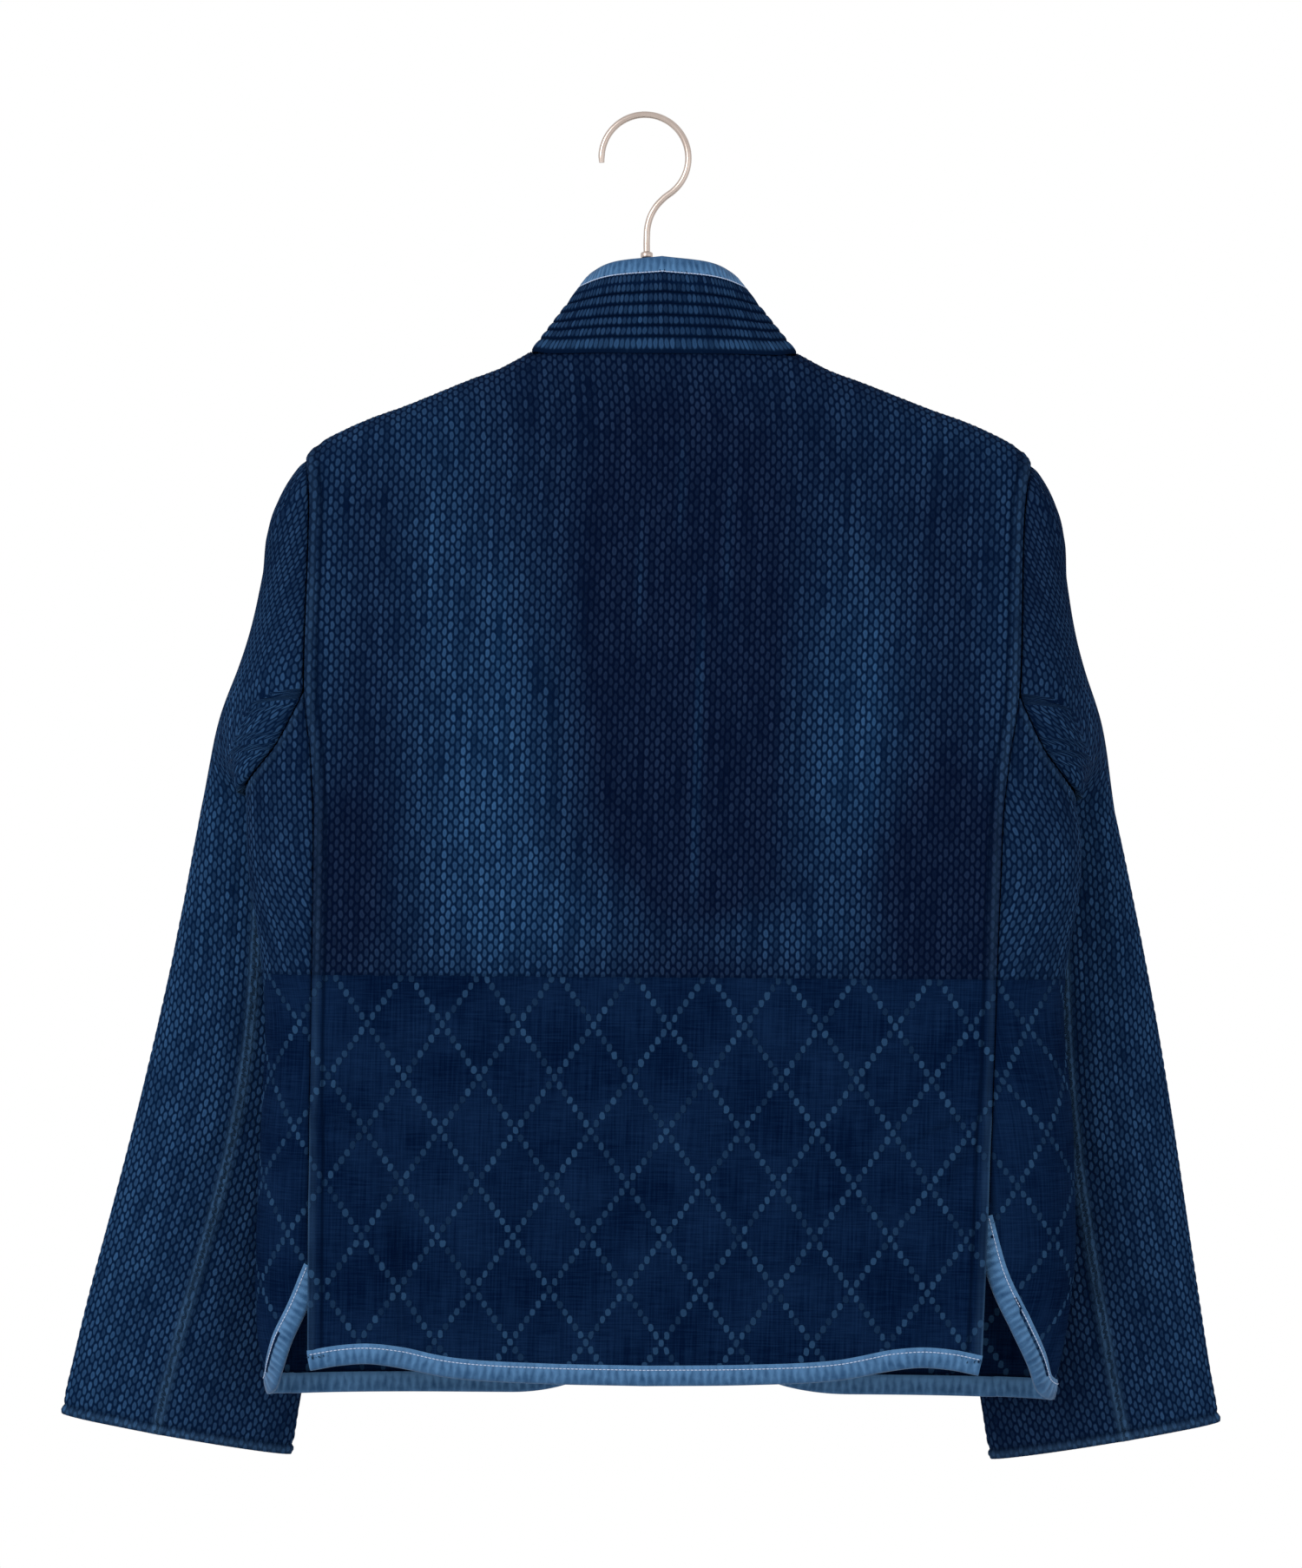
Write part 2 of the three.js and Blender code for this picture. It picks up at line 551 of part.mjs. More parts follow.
// Outer face of the arm: part of the way round from its seam, and down from bicep to cuff
function armPoint(side, part, down) {
  const turn = THREE.MathUtils.degToRad(seamTurn(down) + 360 * part);
  const middle = ['x', 'y', 'z'].map((axis) => lerp(BICEP[axis], CUFF[axis], down));
  const half = lerp(BICEP.half, CUFF.half, down);
  const deep = lerp(BICEP.deep, CUFF.deep, down);
  middle[0] += ARM_BOW[side] * Math.sin(Math.PI * clamp(down, 0, 1)) * (1 - down);
  middle[0] += ARM_FLARE[side] * Math.exp(-(((down - ARM_FLARE_AT) / ARM_FLARE_REACH) ** 2));
  const across = vec(1, 0, lerp(BICEP.rise, CUFF.rise, down)).normalize();
  const point = vec(...middle).addScaledVector(across, half * Math.cos(turn));
  point.y += deep * Math.sin(turn);
  point.x *= side;
  return point;
}

function capPoint(side, stops, part, down) {
  const start = roundLoop(stops, part);
  const end = armPoint(side, part, 0);
  const pull = CAP_PULL * start.distanceTo(end) + CAP_EASE;
  const t = lerp(ARMHOLE_GAP / pull, 1, down);
  const leave = vec(...capLeaves.map((way) => way(part))).normalize().multiplyScalar(pull);
  const arrive = armDown.clone().multiplyScalar(pull);
  leave.x *= side;
  arrive.x *= side;
  return new THREE.Vector3()
    .addScaledVector(start, (1 + 2 * t) * (1 - t) * (1 - t))
    .addScaledVector(end, t * t * (3 - 2 * t))
    .addScaledVector(leave, t * (1 - t) * (1 - t))
    .addScaledVector(arrive, -t * t * (1 - t));
}

for (const [side, name] of [[-1, 'left'], [1, 'right']]) {
  const stops = armholeLoop(side);
  const face = (part, row) => {
    const around = part - Math.floor(part);
    if (row < CAP_ROWS) return capPoint(side, stops, around, row / CAP_ROWS);
    return armPoint(side, around, (row - CAP_ROWS) / ARM_ROWS);
  };
  const armLength = CUFF.z - BICEP.z;
  const rollRows = CUFF_ROLL.map(([above]) => CAP_ROWS + ARM_ROWS * (1 + above / armLength));
  const rowAt = (i) => (i < CAP_ROWS + ARM_ROWS - 1 ? i : rollRows[i - CAP_ROWS - ARM_ROWS + 1]);
  const rollAt = (i) => (i < CAP_ROWS + ARM_ROWS - 1 ? 0 : CUFF_ROLL[i - CAP_ROWS - ARM_ROWS + 1][1]);
  const rows = CAP_ROWS + ARM_ROWS - 1 + CUFF_ROLL.length - 1;
  add(`sleeve_${name}`, clothWall({
    rows,
    columns: SLEEVE_COLUMNS,
    ring: true,
    plain: 1,
    place: (i, j) => {
      const part = j / SLEEVE_COLUMNS;
      const row = rowAt(i);
      const point = face(part, row);
      const across = face(part + 0.004, row).sub(face(part - 0.004, row));
      const along = face(part, row + 0.02).sub(face(part, row - 0.02));
      const normal = across.cross(along).normalize().multiplyScalar(-side);
      return [point.clone().addScaledVector(normal, rollAt(i)), point.addScaledVector(normal, -WALL)];
    },
  }), INDIGO);
}

// Stand collar: a quilted band from the neck's edge up to its taped top edge
const collarBase = COLLAR_STATIONS.map(({ at, base }) => {
  const z = at < COLLAR_SIDE ? BACK_NECK_Z : frontNeck(base);
  const outside = at === COLLAR_SIDE ? vec(base, 0, NECK_Z)
    : at < COLLAR_SIDE ? backPoint(base, z) : frontPoint(1, armGirth(1, z) + ARMHOLE_X - base, z);
  return [at, outside.x, outside.y, outside.z + COLLAR_CLEAR];
});
const collarFoot = [1, 2, 3].map((k) => profile(collarBase.map((stop) => [stop[0], stop[k]])));
const collarTop = [0, 1, 2].map((k) => profile(COLLAR_STATIONS.map(({ at, top }) => [at, top[k]])));
function collarPoint(around, up) {
  const at = Math.abs(around) / COLLAR_HALF;
  const [x, y, z] = [0, 1, 2].map((k) => lerp(collarFoot[k](at), collarTop[k](at), up / COLLAR_HEIGHT));
  return vec(around < 0 ? -x : x, y, z);
}
function collarCloth(around, up, out) {
  const point = collarPoint(around, up);
  const facing = vec(point.x, point.y - 12, 0);
  return point.addScaledVector(normalOf(collarPoint, around, up, facing), out);
}
const COLLAR_COLUMNS = 32;
const collarEnd = COLLAR_HALF - BINDING_WIDTH - BINDING_GAP;
const collarRise = COLLAR_HEIGHT - BINDING_WIDTH - BINDING_GAP;
add('collar', clothWall({
  rows: 2 * COLLAR_RIBS,
  columns: COLLAR_COLUMNS,
  place: (i, j) => {
    const around = collarEnd * ((2 * j) / COLLAR_COLUMNS - 1);
    const up = (collarRise * i) / (2 * COLLAR_RIBS);
    const crest = i % 2 === 1 && j > 0 && j < COLLAR_COLUMNS;
    const outer = collarCloth(around, up, crest ? COLLAR_RELIEF : 0);
    const inner = collarCloth(around, up, -COLLAR_WALL);
    if (i === 0) inner.z = Math.max(inner.z, outer.z);
    return [outer, inner];
  },
}), QUILTED_INDIGO);
const collarPath = [];
for (let k = 0; k <= 5; k += 1) collarPath.push([collarEnd, lerp(0.6, collarRise - 0.5, k / 5)]);
for (let j = 0; j <= COLLAR_COLUMNS; j += 1) {
  collarPath.push([collarEnd * (1 - (2 * j) / COLLAR_COLUMNS), collarRise]);
}
for (let k = 5; k >= 0; k -= 1) collarPath.push([-collarEnd, lerp(0.6, collarRise - 0.5, k / 5)]);
add('collar_binding', binding(collarPath, collarCloth, COLLAR_WALL), FADED_TAPE);

// Hanger: a bent steel hook, its ferrule and neck, and plain wooden arms inside the shoulders
const ringOf = (sides, place) => Array.from({ length: sides }, (_, s) => {
  const turn = (s / sides) * 2 * Math.PI;
  return place(Math.cos(turn), Math.sin(turn));
});
const hookLine = [];
for (let turn = HOOK_TIP_TURN; turn >= HOOK_LEAVE_TURN; turn -= 9) {
  const angle = THREE.MathUtils.degToRad(turn);
  hookLine.push([HOOK_RADIUS * Math.cos(angle), HOOK_RADIUS * (Math.sin(angle) - 1) + WIRE / 2]);
}
const hookCurve = new THREE.CatmullRomCurve3([...hookLine, ...HOOK_STEM].map(([x, z]) => vec(x, 0, z)));
const HOOK_STEPS = 44;
const HOOK_TIP_ROUND = 0.03;
const hookLoops = Array.from({ length: HOOK_STEPS + 1 }, (_, k) => {
  const part = k / HOOK_STEPS;
  const middle = hookCurve.getPointAt(part);
  const way = hookCurve.getTangentAt(part);
  const radius = (WIRE / 2) * Math.max(roundOff(part / HOOK_TIP_ROUND), 0.4);
  return ringOf(10, (c, s) => vec(middle.x + radius * c * way.z, radius * s, middle.z - radius * c * way.x));
});
add('hanger_hook', loopSweep(hookLoops), STEEL);

const neckX = HOOK_STEM[4][0];
const neckLoops = NECK_TUBE.map(([z, radius]) => ringOf(14, (c, s) => (
  vec(neckX + radius * c, radius * s, z))));
add('hanger_neck', loopSweep(neckLoops), STEEL);

const hangerTop = profile(HANGER_TOP);
const HANGER_STATIONS = 28;
const HANGER_END_ROUND = 16;
const hangerLoops = Array.from({ length: HANGER_STATIONS + 1 }, (_, k) => {
  const x = HANGER_HALF * Math.sin(((2 * k) / HANGER_STATIONS - 1) * Math.PI / 2);
  const size = Math.max(roundOff((HANGER_HALF - Math.abs(x)) / HANGER_END_ROUND), 0.4);
  return HANGER_SECTION.map(([y, z]) => vec(x, y * size, hangerTop(Math.abs(x)) + z * size));
});
add('hanger_arms', loopSweep(hangerLoops), WOOD);

export default jacket;
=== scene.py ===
# A short jacket of indigo rice-grain sashiko cloth, hung by its shoulders on a plain hanger.
# Metres, +Z up. The origin is the inside top of the hook, -Y is the side that the back faces,
# and +X is the wearer's right.

import math
import bmesh
import bpy
import numpy as np
from mathutils import Matrix, Vector


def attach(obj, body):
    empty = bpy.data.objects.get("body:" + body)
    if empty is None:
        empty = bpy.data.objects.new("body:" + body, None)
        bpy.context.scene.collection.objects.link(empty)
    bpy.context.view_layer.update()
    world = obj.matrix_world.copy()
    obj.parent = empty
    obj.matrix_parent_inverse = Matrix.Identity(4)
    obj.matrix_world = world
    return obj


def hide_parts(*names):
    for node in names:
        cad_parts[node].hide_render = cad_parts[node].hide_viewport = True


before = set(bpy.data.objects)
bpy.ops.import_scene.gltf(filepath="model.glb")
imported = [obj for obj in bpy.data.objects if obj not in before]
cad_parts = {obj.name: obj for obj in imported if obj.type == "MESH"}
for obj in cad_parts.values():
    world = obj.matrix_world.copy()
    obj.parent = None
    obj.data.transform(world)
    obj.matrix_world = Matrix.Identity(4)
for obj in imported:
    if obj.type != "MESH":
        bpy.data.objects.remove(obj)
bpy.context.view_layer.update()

# The view: square on to the jacket's back, level with its middle, from about three paces away.
# The picture is 1500 x 1806 and takes in 0.957 m of height at the hanger.
PICTURE_HEIGHT = 0.957
PICTURE_MIDDLE = (0.0037, -0.4065)
CAMERA_AWAY = 2.7
SENSOR_MM = 36

view = bpy.data.cameras.new("view")
view.sensor_width = SENSOR_MM
view.lens = SENSOR_MM * CAMERA_AWAY / PICTURE_HEIGHT
camera = bpy.data.objects.new("camera", view)
camera.location = (PICTURE_MIDDLE[0], -CAMERA_AWAY, PICTURE_MIDDLE[1])
camera.rotation_euler = (math.radians(90), 0, 0)
bpy.context.collection.objects.link(camera)
bpy.context.scene.camera = camera
bpy.context.scene.view_settings.view_transform = "Standard"


# Studio: soft white light from all round, a broad soft lamp high on the left, a weaker one on
# the right, and a plain pale floor well below the jacket.
def srgb(text, alpha=1.0):
    parts = [int(text[k:k + 2], 16) / 255 for k in (0, 2, 4)]
    return [c / 12.92 if c <= 0.04045 else ((c + 0.055) / 1.055) ** 2.4 for c in parts] + [alpha]


def add(owner, kind, inputs=(), out=0, **settings):
    """Adds one shader node with its settings and its links or values, and gives an output."""
    made = owner.node_tree.nodes.new("ShaderNode" + kind)
    for key, value in settings.items():
        setattr(made, key, value)
    for key, value in inputs.items() if isinstance(inputs, dict) else enumerate(inputs):
        if isinstance(value, bpy.types.NodeSocket):
            owner.node_tree.links.new(value, made.inputs[key])
        else:
            made.inputs[key].default_value = value
    return made.outputs[out] if len(made.outputs) else made


studio = bpy.data.worlds.new("studio")
studio.use_nodes = True
studio.node_tree.nodes.clear()
sky = add(studio, "Background", {"Color": srgb("ffffff"), "Strength": 1.0})
add(studio, "OutputWorld", {"Surface": sky})
bpy.context.scene.world = studio

for name, place, size, watts in [
    ("lamp_left", (-1.7, -2.2, 0.75), 1.5, 46),
    ("lamp_right", (2.0, -2.0, -0.1), 1.8, 9),
]:
    lamp = bpy.data.lights.new(name, "AREA")
    lamp.size = size
    lamp.energy = watts
    lamp_object = bpy.data.objects.new(name, lamp)
    lamp_object.location = place
    towards = Vector((0, 0, -0.42)) - Vector(place)
    lamp_object.rotation_euler = towards.to_track_quat("-Z", "Y").to_euler()
    bpy.context.collection.objects.link(lamp_object)

FLOOR_Z = -1.35
FLOOR_SIZE = 3.2


def new_material(name):
    made = bpy.data.materials.new(name)
    made.use_nodes = True
    made.node_tree.nodes.clear()
    return made


def finish_piece(mesh, name, material, smooth=True):
    """Turns a bmesh into an object that sits at the origin."""
    data = bpy.data.meshes.new(name)
    for face in mesh.faces:
        face.smooth = smooth
    mesh.to_mesh(data)
    mesh.free()
    data.materials.append(material)
    piece = bpy.data.objects.new(name, data)
    bpy.context.collection.objects.link(piece)
    return piece


def stands_for(piece, node):
    """The piece takes a solid's place and hangs with the rest."""
    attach(piece, "root")
    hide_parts(node)


# A Mix node's settings where it mixes colours: input 0 is the share, 6 and 7 are the colours
TWO_COLOURS = {"out": 2, "data_type": "RGBA"}

# Pale painted floor: matt, with the faintest cloudiness
floor_paint = new_material("pale_matt_floor_paint")
cloud = add(floor_paint, "TexNoise", {"Scale": 1.5})
paint = add(floor_paint, "Mix", {0: cloud, 6: srgb("ededea"), 7: srgb("f4f4f2")}, **TWO_COLOURS)
floor_finish = add(floor_paint, "BsdfPrincipled", {"Base Color": paint, "Roughness": 0.85})
add(floor_paint, "OutputMaterial", {"Surface": floor_finish})
ground = bmesh.new()
bmesh.ops.create_circle(ground, cap_ends=True, segments=64, radius=FLOOR_SIZE / 2,
                        matrix=Matrix.Translation((0, 0, FLOOR_Z)))
finish_piece(ground, "floor", floor_paint)


# Hanger hook: 4 mm drawn steel wire bent round most of a circle and down into the neck. Polished
# by use to a satin, slightly warm grey. It carries the whole object.
WIRE = 0.004
HOOK_RADIUS = 0.0265
HOOK_TURN = (186, -48)
HOOK_STEM = [(0.011, -0.0495), (0.0052, -0.0565), (0.0019, -0.065), (0.0011, -0.074),
             (0.0011, -0.0816)]

# Satin stainless wire: a metal with fine streaks drawn along it and a soft broken gloss
steel = new_material("drawn_stainless_wire")
where = add(steel, "TexCoord", out=3)
streaks = add(steel, "TexNoise", {"Vector": where, "Scale": 900.0, "Detail": 3.0})
tone = add(steel, "MapRange", {"Value": streaks, "To Min": 0.24, "To Max": 0.38})
smudge = add(steel, "TexNoise", {"Vector": where, "Scale": 60.0})
metal = add(steel, "Mix", {0: smudge, 6: srgb("a08f86"), 7: srgb("c9bdb5")}, **TWO_COLOURS)
scratch = add(steel, "Bump", {"Height": streaks, "Strength": 0.15, "Distance": 0.0001})
steel_finish = add(steel, "BsdfPrincipled", {
    "Base Color": metal, "Metallic": 1.0, "Roughness": tone, "Normal": scratch})
add(steel, "OutputMaterial", {"Surface": steel_finish})

wire = bpy.data.curves.new("hook_wire", "CURVE")
wire.dimensions = "3D"
wire.bevel_depth = WIRE / 2
wire.bevel_resolution = 6
wire.resolution_u = 6
wire.use_fill_caps = True
bend = wire.splines.new("BEZIER")
turns = np.radians(np.arange(HOOK_TURN[0], HOOK_TURN[1] - 1, -9))
line = [(HOOK_RADIUS * math.cos(t), HOOK_RADIUS * (math.sin(t) - 1) + WIRE / 2) for t in turns]
line += HOOK_STEM
bend.bezier_points.add(len(line) - 1)
for point, (x, z) in zip(bend.bezier_points, line):
    point.co = (x, 0, z)
    point.handle_left_type = point.handle_right_type = "AUTO"
bend.bezier_points[0].radius = 0.8
wire.materials.append(steel)
hook = bpy.data.objects.new("hook_wire", wire)
bpy.context.collection.objects.link(hook)
stands_for(hook, "hanger_hook")

# Hanger neck: a small turned ferrule that the wire enters, and the plain rod under it down to
# the arms. Both are the same steel, and the ferrule is rolled tight round the wire.
NECK_X = 0.0011
NECK_PROFILE = [(0.0, -0.0818), (0.0024, -0.0818), (0.0032, -0.0821), (0.0037, -0.0827),
                (0.0037, -0.085), (0.0034, -0.0856), (0.0029, -0.0859), (0.0029, -0.1263),
                (0.0, -0.1265)]
turned = bmesh.new()
ring = [turned.verts.new((NECK_X + r, 0, z)) for r, z in NECK_PROFILE]
edges = [turned.edges.new(pair) for pair in zip(ring, ring[1:])]
bmesh.ops.spin(turned, geom=ring + edges, cent=(NECK_X, 0, 0), axis=(0, 0, 1),
               angle=2 * math.pi, steps=40, use_merge=True)
bmesh.ops.remove_doubles(turned, verts=turned.verts, dist=1e-6)
bmesh.ops.recalc_face_normals(turned, faces=turned.faces)
ferrule = finish_piece(turned, "hanger_ferrule", steel)
stands_for(ferrule, "hanger_neck")


# Hanger arms: one bow of beech inside the shoulders, 12 mm thick and 24 mm deep, rounded all
# over and waxed. The jacket's shoulders rest along its top.
def smooth_line(points):
    """A smooth line through given points (at, value), level beyond its ends."""
    at, value = np.array(sorted(points), float).T
    last = len(at) - 1
    before = np.maximum(np.arange(last + 1) - 1, 0)
    after = np.minimum(np.arange(last + 1) + 1, last)
    slope = (value[after] - value[before]) / (at[after] - at[before])

    def line_at(x):
        x = np.clip(x, at[0], at[-1])
        k = np.clip(np.searchsorted(at, x, side="right") - 1, 0, last - 1)
        span = at[k + 1] - at[k]
        t = (x - at[k]) / span
        rise = t * t * (3 - 2 * t)
        bow = t * (1 - t) * span * ((1 - t) * slope[k] - t * slope[k + 1])
        return value[k] + (value[k + 1] - value[k]) * rise + bow

    return line_at


def round_off(t):
    """A quarter-round easing: 0 at a fold or ridge, 1 where the cloth lies flat."""
    return np.sqrt(1 - (1 - np.clip(t, 0, 1)) ** 2)


def grid_of(columns, rows):
    """A bmesh grid with each vertex's row and column, in the order of its vertices."""
    mesh = bmesh.new()
    bmesh.ops.create_grid(mesh, x_segments=columns - 1, y_segments=rows - 1, size=0.5)
    flat = np.array([v.co[:2] for v in mesh.verts])
    order = np.rint((flat + 0.5) * [columns - 1, rows - 1]).astype(int)
    return mesh, order[:, 1], order[:, 0]


def put(mesh, places):
    for vertex, place in zip(mesh.verts, places):
        vertex.co = place


HANGER_TOP = smooth_line([(0, -0.127), (0.025, -0.133), (0.066, -0.149), (0.105, -0.167),
                          (0.145, -0.183), (0.166, -0.1905), (0.185, -0.199), (0.196, -0.206)])
HANGER_HALF = 0.196
HANGER_THICK = 0.012
HANGER_DEEP = 0.024
HANGER_END = 0.016
HANGER_SQUARE = 0.72
BOW_SIDES = 32
BOW_STEPS = 96

# Waxed beech: pale brown, short flecks and fine grain along the bow, a low sheen
beech = new_material("waxed_beech")
where = add(beech, "TexCoord", out=3)
grain_way = add(beech, "Mapping", {"Vector": where, "Scale": (12, 160, 160)})
grain = add(beech, "TexNoise", {"Vector": grain_way, "Scale": 3.0, "Detail": 6.0})
wood = add(beech, "Mix", {0: grain, 6: srgb("a57c50"), 7: srgb("c9a273")}, **TWO_COLOURS)
pores = add(beech, "Bump", {"Height": grain, "Strength": 0.2, "Distance": 0.0003})
beech_finish = add(beech, "BsdfPrincipled", {
    "Base Color": wood, "Roughness": 0.45, "Normal": pores})
add(beech, "OutputMaterial", {"Surface": beech_finish})

bow, row, column = grid_of(BOW_SIDES + 1, BOW_STEPS + 1)
turn = column / BOW_SIDES * 2 * math.pi
x = HANGER_HALF * np.sin((row / BOW_STEPS * 2 - 1) * math.pi / 2)
size = round_off((HANGER_HALF - np.abs(x)) / HANGER_END)
across = np.sign(np.cos(turn)) * np.abs(np.cos(turn)) ** HANGER_SQUARE
upright = np.sign(np.sin(turn)) * np.abs(np.sin(turn)) ** HANGER_SQUARE
middle = HANGER_TOP(np.abs(x)) - HANGER_DEEP / 2
put(bow, np.stack([x, HANGER_THICK / 2 * across * size,
                   middle + HANGER_DEEP / 2 * upright * size], axis=1))
bmesh.ops.remove_doubles(bow, verts=bow.verts, dist=1e-6)
bmesh.ops.recalc_face_normals(bow, faces=bow.faces)
arms = finish_piece(bow, "hanger_bow", beech)
stands_for(arms, "hanger_arms")


# Back panel: one broad piece of rice-grain sashiko from the shoulder seams to the hem, in a
# single length of cloth whose lower third is woven plain with diamonds of single grains. Its
# side edges are turned in under a stitched ridge, and they open into slits near the hem.
COLUMN = 0.00325
GRAIN = 0.00657
LOZENGE_STEP = 0.004557
LOZENGE_GRAINS = 14
LOZENGE_ROW_Z = -0.552
BACK_LOZENGE_X = -11 * COLUMN

WALL = 0.0022
TAPE = 0.0097
GAP = 0.0003
SHOULDER_NECK_X = 0.0814
SHOULDER_NECK_Z = -0.1435
NECK_SLOPE = 0.4
BACK_NECK_Z = -0.145
SHOULDER_ROUND = 0.026
SHOULDER_DEEP = 0.023
SHOULDER_TIP_X = 0.221
SHOULDER_TIP_Z = -0.209
ARMHOLE_X = 0.216
ARMHOLE_CORNER_Z = -0.352
LOWER_PANEL_Z = -0.523
SLIT_TOP_Z = -0.602
BACK_ROUND = 0.05
TILT = 0.007

middle_line = smooth_line([(-0.785, -0.001), (-0.523, 0.0056), (-0.26, 0.0126), (-0.19, 0.0146),
                           (-0.15, 0.012), (-0.086, 0.0104)])
shoulder_line = smooth_line([(0.0814, -0.1435), (0.1, -0.1535), (0.12, -0.161), (0.16, -0.177),
                             (0.181, -0.1845), (0.2, -0.193), (0.213, -0.2005), (0.221, -0.209)])
back_depth = smooth_line([(-0.145, 0.022), (-0.26, 0.03), (-0.42, 0.034), (-0.78, 0.034)])
back_edge = smooth_line([(-0.209, 0.221), (-0.23, 0.217), (-0.262, 0.216), (-0.35, 0.216),
                         (-0.39, 0.211), (-0.43, 0.208), (-0.602, 0.206), (-0.77, 0.203)])
back_hem = smooth_line([(0, -0.769), (0.062, -0.768), (0.115, -0.765), (0.16, -0.7565),
                        (0.185, -0.7575), (0.204, -0.761)])
side_fold = {
    -1: smooth_line([(-0.405, 0.252), (-0.46, 0.249), (-0.507, 0.241), (-0.56, 0.236),
                     (-0.65, 0.238), (-0.735, 0.237), (-0.782, 0.229)]),
    1: smooth_line([(-0.405, 0.252), (-0.44, 0.258), (-0.469, 0.258), (-0.535, 0.25),
                    (-0.609, 0.257), (-0.66, 0.26), (-0.707, 0.26), (-0.782, 0.25)]),
}
fold_line = smooth_line([(-0.59, 0.212), (-0.602, 0.204), (-0.638, 0.168), (-0.7, 0.163),
                         (-0.76, 0.16)])
FOLD_RISE = 0.004
FOLD_HALF = 0.014
FOLD_FADE = 0.03
SLIT_OPENING = 0.06
SLIT_FLARE = 0.006
SLIT_FLARE_REACH = 0.034


def bell(distance, half):
    """A soft hump: 1 at no distance, fading out past half."""
    return np.exp(-((distance / half) ** 2))


def shoulder_z(x):
    x = np.abs(x)
    slope = SHOULDER_NECK_Z + NECK_SLOPE * (SHOULDER_NECK_X - x)
    return np.where(x < SHOULDER_NECK_X, slope, shoulder_line(x))


def running_length(*along):
    """Length along a line from its start to each of its points, from one array for each axis."""
    steps = np.linalg.norm(np.diff(along, axis=-1), axis=0)
    return np.concatenate([[0], np.cumsum(steps)])


# The cloth is measured along its own length: v is its height up to where it turns over the
# shoulder, and past that the way it has gone round
ROUND_TURN = np.linspace(0, math.pi / 2, 65)
ROUND_LENGTH = running_length(SHOULDER_ROUND * np.sin(ROUND_TURN),
                              SHOULDER_DEEP * np.cos(ROUND_TURN))


def over_shoulder(x, v):
    """Height of the cloth, and how much of its full depth it has there."""
    foot = shoulder_z(x) - SHOULDER_ROUND
    turn = np.interp(v - foot, ROUND_LENGTH, ROUND_TURN)
    return np.where(v > foot, foot + SHOULDER_ROUND * np.sin(turn), v), np.cos(turn)


def cloth_height(x, z):
    """The cloth's own measure v at a height z."""
    foot = shoulder_z(x) - SHOULDER_ROUND
    turn = np.arcsin(np.clip((z - foot) / SHOULDER_ROUND, 0, 1))
    return np.where(z > foot, foot + np.interp(turn, ROUND_TURN, ROUND_LENGTH), z)


def slit_fold(x, z):
    """From each slit's top a ridge runs in and down to the hem, and the corner stands off."""
    away = np.abs(x) - fold_line(z)
    begins = np.clip((SLIT_TOP_Z + 0.01 - z) / FOLD_FADE, 0, 1)
    opens = np.clip((SLIT_TOP_Z - z) / SLIT_OPENING, 0, 1)
    ridge = bell(away, FOLD_HALF)
    corner = bell(back_edge(z) - np.abs(x), SLIT_FLARE_REACH)
    return begins * FOLD_RISE * ridge + opens ** 2 * SLIT_FLARE * corner


def creases(x, z, placed):
    """Soft ridges, and troughs where the rise is negative, each from a start to an end."""
    out = 0
    for start, end, half, rise in placed:
        way = np.subtract(end, start)
        t = np.clip(((x - start[0]) * way[0] + (z - start[1]) * way[1]) / (way @ way), 0, 1)
        away = np.hypot(x - start[0] - t * way[0], z - start[1] - t * way[1])
        swell = 0.35 + 0.65 * np.sin(math.pi * np.clip(t, 0.08, 0.92))
        out = out + rise * bell(away, half) * swell
    return out


# The back's main creases, as (start, end, half width, rise), with start and end as (x, z)
BACK_CREASES = [
    ((-0.202, -0.602), (-0.158, -0.627), 0.0035, -0.003),
    ((-0.2, -0.61), (-0.165, -0.65), 0.0045, 0.0022),
    ((-0.196, -0.594), (-0.17, -0.588), 0.0035, -0.0016),
    ((0.202, -0.603), (0.158, -0.622), 0.0035, -0.003),
    ((0.196, -0.594), (0.165, -0.586), 0.0035, -0.0016),
    ((0.16, -0.625), (0.09, -0.645), 0.005, -0.0012),
    ((0.195, -0.612), (0.168, -0.655), 0.0045, 0.0022),
    ((-0.15, -0.632), (-0.142, -0.755), 0.006, -0.0022),
    ((0.15, -0.632), (0.146, -0.755), 0.006, -0.0022),
    ((-0.19, -0.27), (-0.2, -0.42), 0.012, -0.0012),
    ((0.188, -0.26), (0.196, -0.44), 0.012, -0.0012),
    ((-0.12, -0.2), (-0.16, -0.5), 0.03, 0.0012),
    ((0.12, -0.2), (0.14, -0.48), 0.03, 0.0012),
    ((0.0, -0.18), (0.01, -0.5), 0.04, -0.001),
]


def back_face(x, v):
    z, full = over_shoulder(x, v)
    fold = np.where(x < 0, side_fold[-1](z), side_fold[1](z))
    depth = back_depth(z) * full * round_off((fold - np.abs(x)) / BACK_ROUND)
    out = np.maximum(depth, GAP / 2) + slit_fold(x, z) + creases(x, z, BACK_CREASES)
    return np.stack([x, -out, z], axis=-1)


def hang(p):
    """Lean and tilt of the hanging jacket."""
    return np.stack([p[..., 0] + middle_line(p[..., 2]), p[..., 1], p[..., 2] - TILT * p[..., 0]],
                    axis=-1)


FEELER = 0.0002

# Half widths and heights of the raised grains, as shares of their column's and row's pitch, and
# how high the plain cloth inside a diamond swells, where a grain is 1 high
RICE_HALF = (0.5, 0.43)
LOZENGE_HALF = (0.55, 0.52)
LOZENGE_PUFF = 1.2


def lifted(face, a, b, out, side=1):
    """Points of a cloth face moved out along its normal, then hung."""
    across = face(a + FEELER, b) - face(a - FEELER, b)
    along = face(a, b + FEELER) - face(a, b - FEELER)
    normal = side * np.cross(across, along)
    normal /= np.maximum(np.linalg.norm(normal, axis=-1, keepdims=True), 1e-12)
    return hang(face(a, b) + normal * np.asarray(out)[..., None])


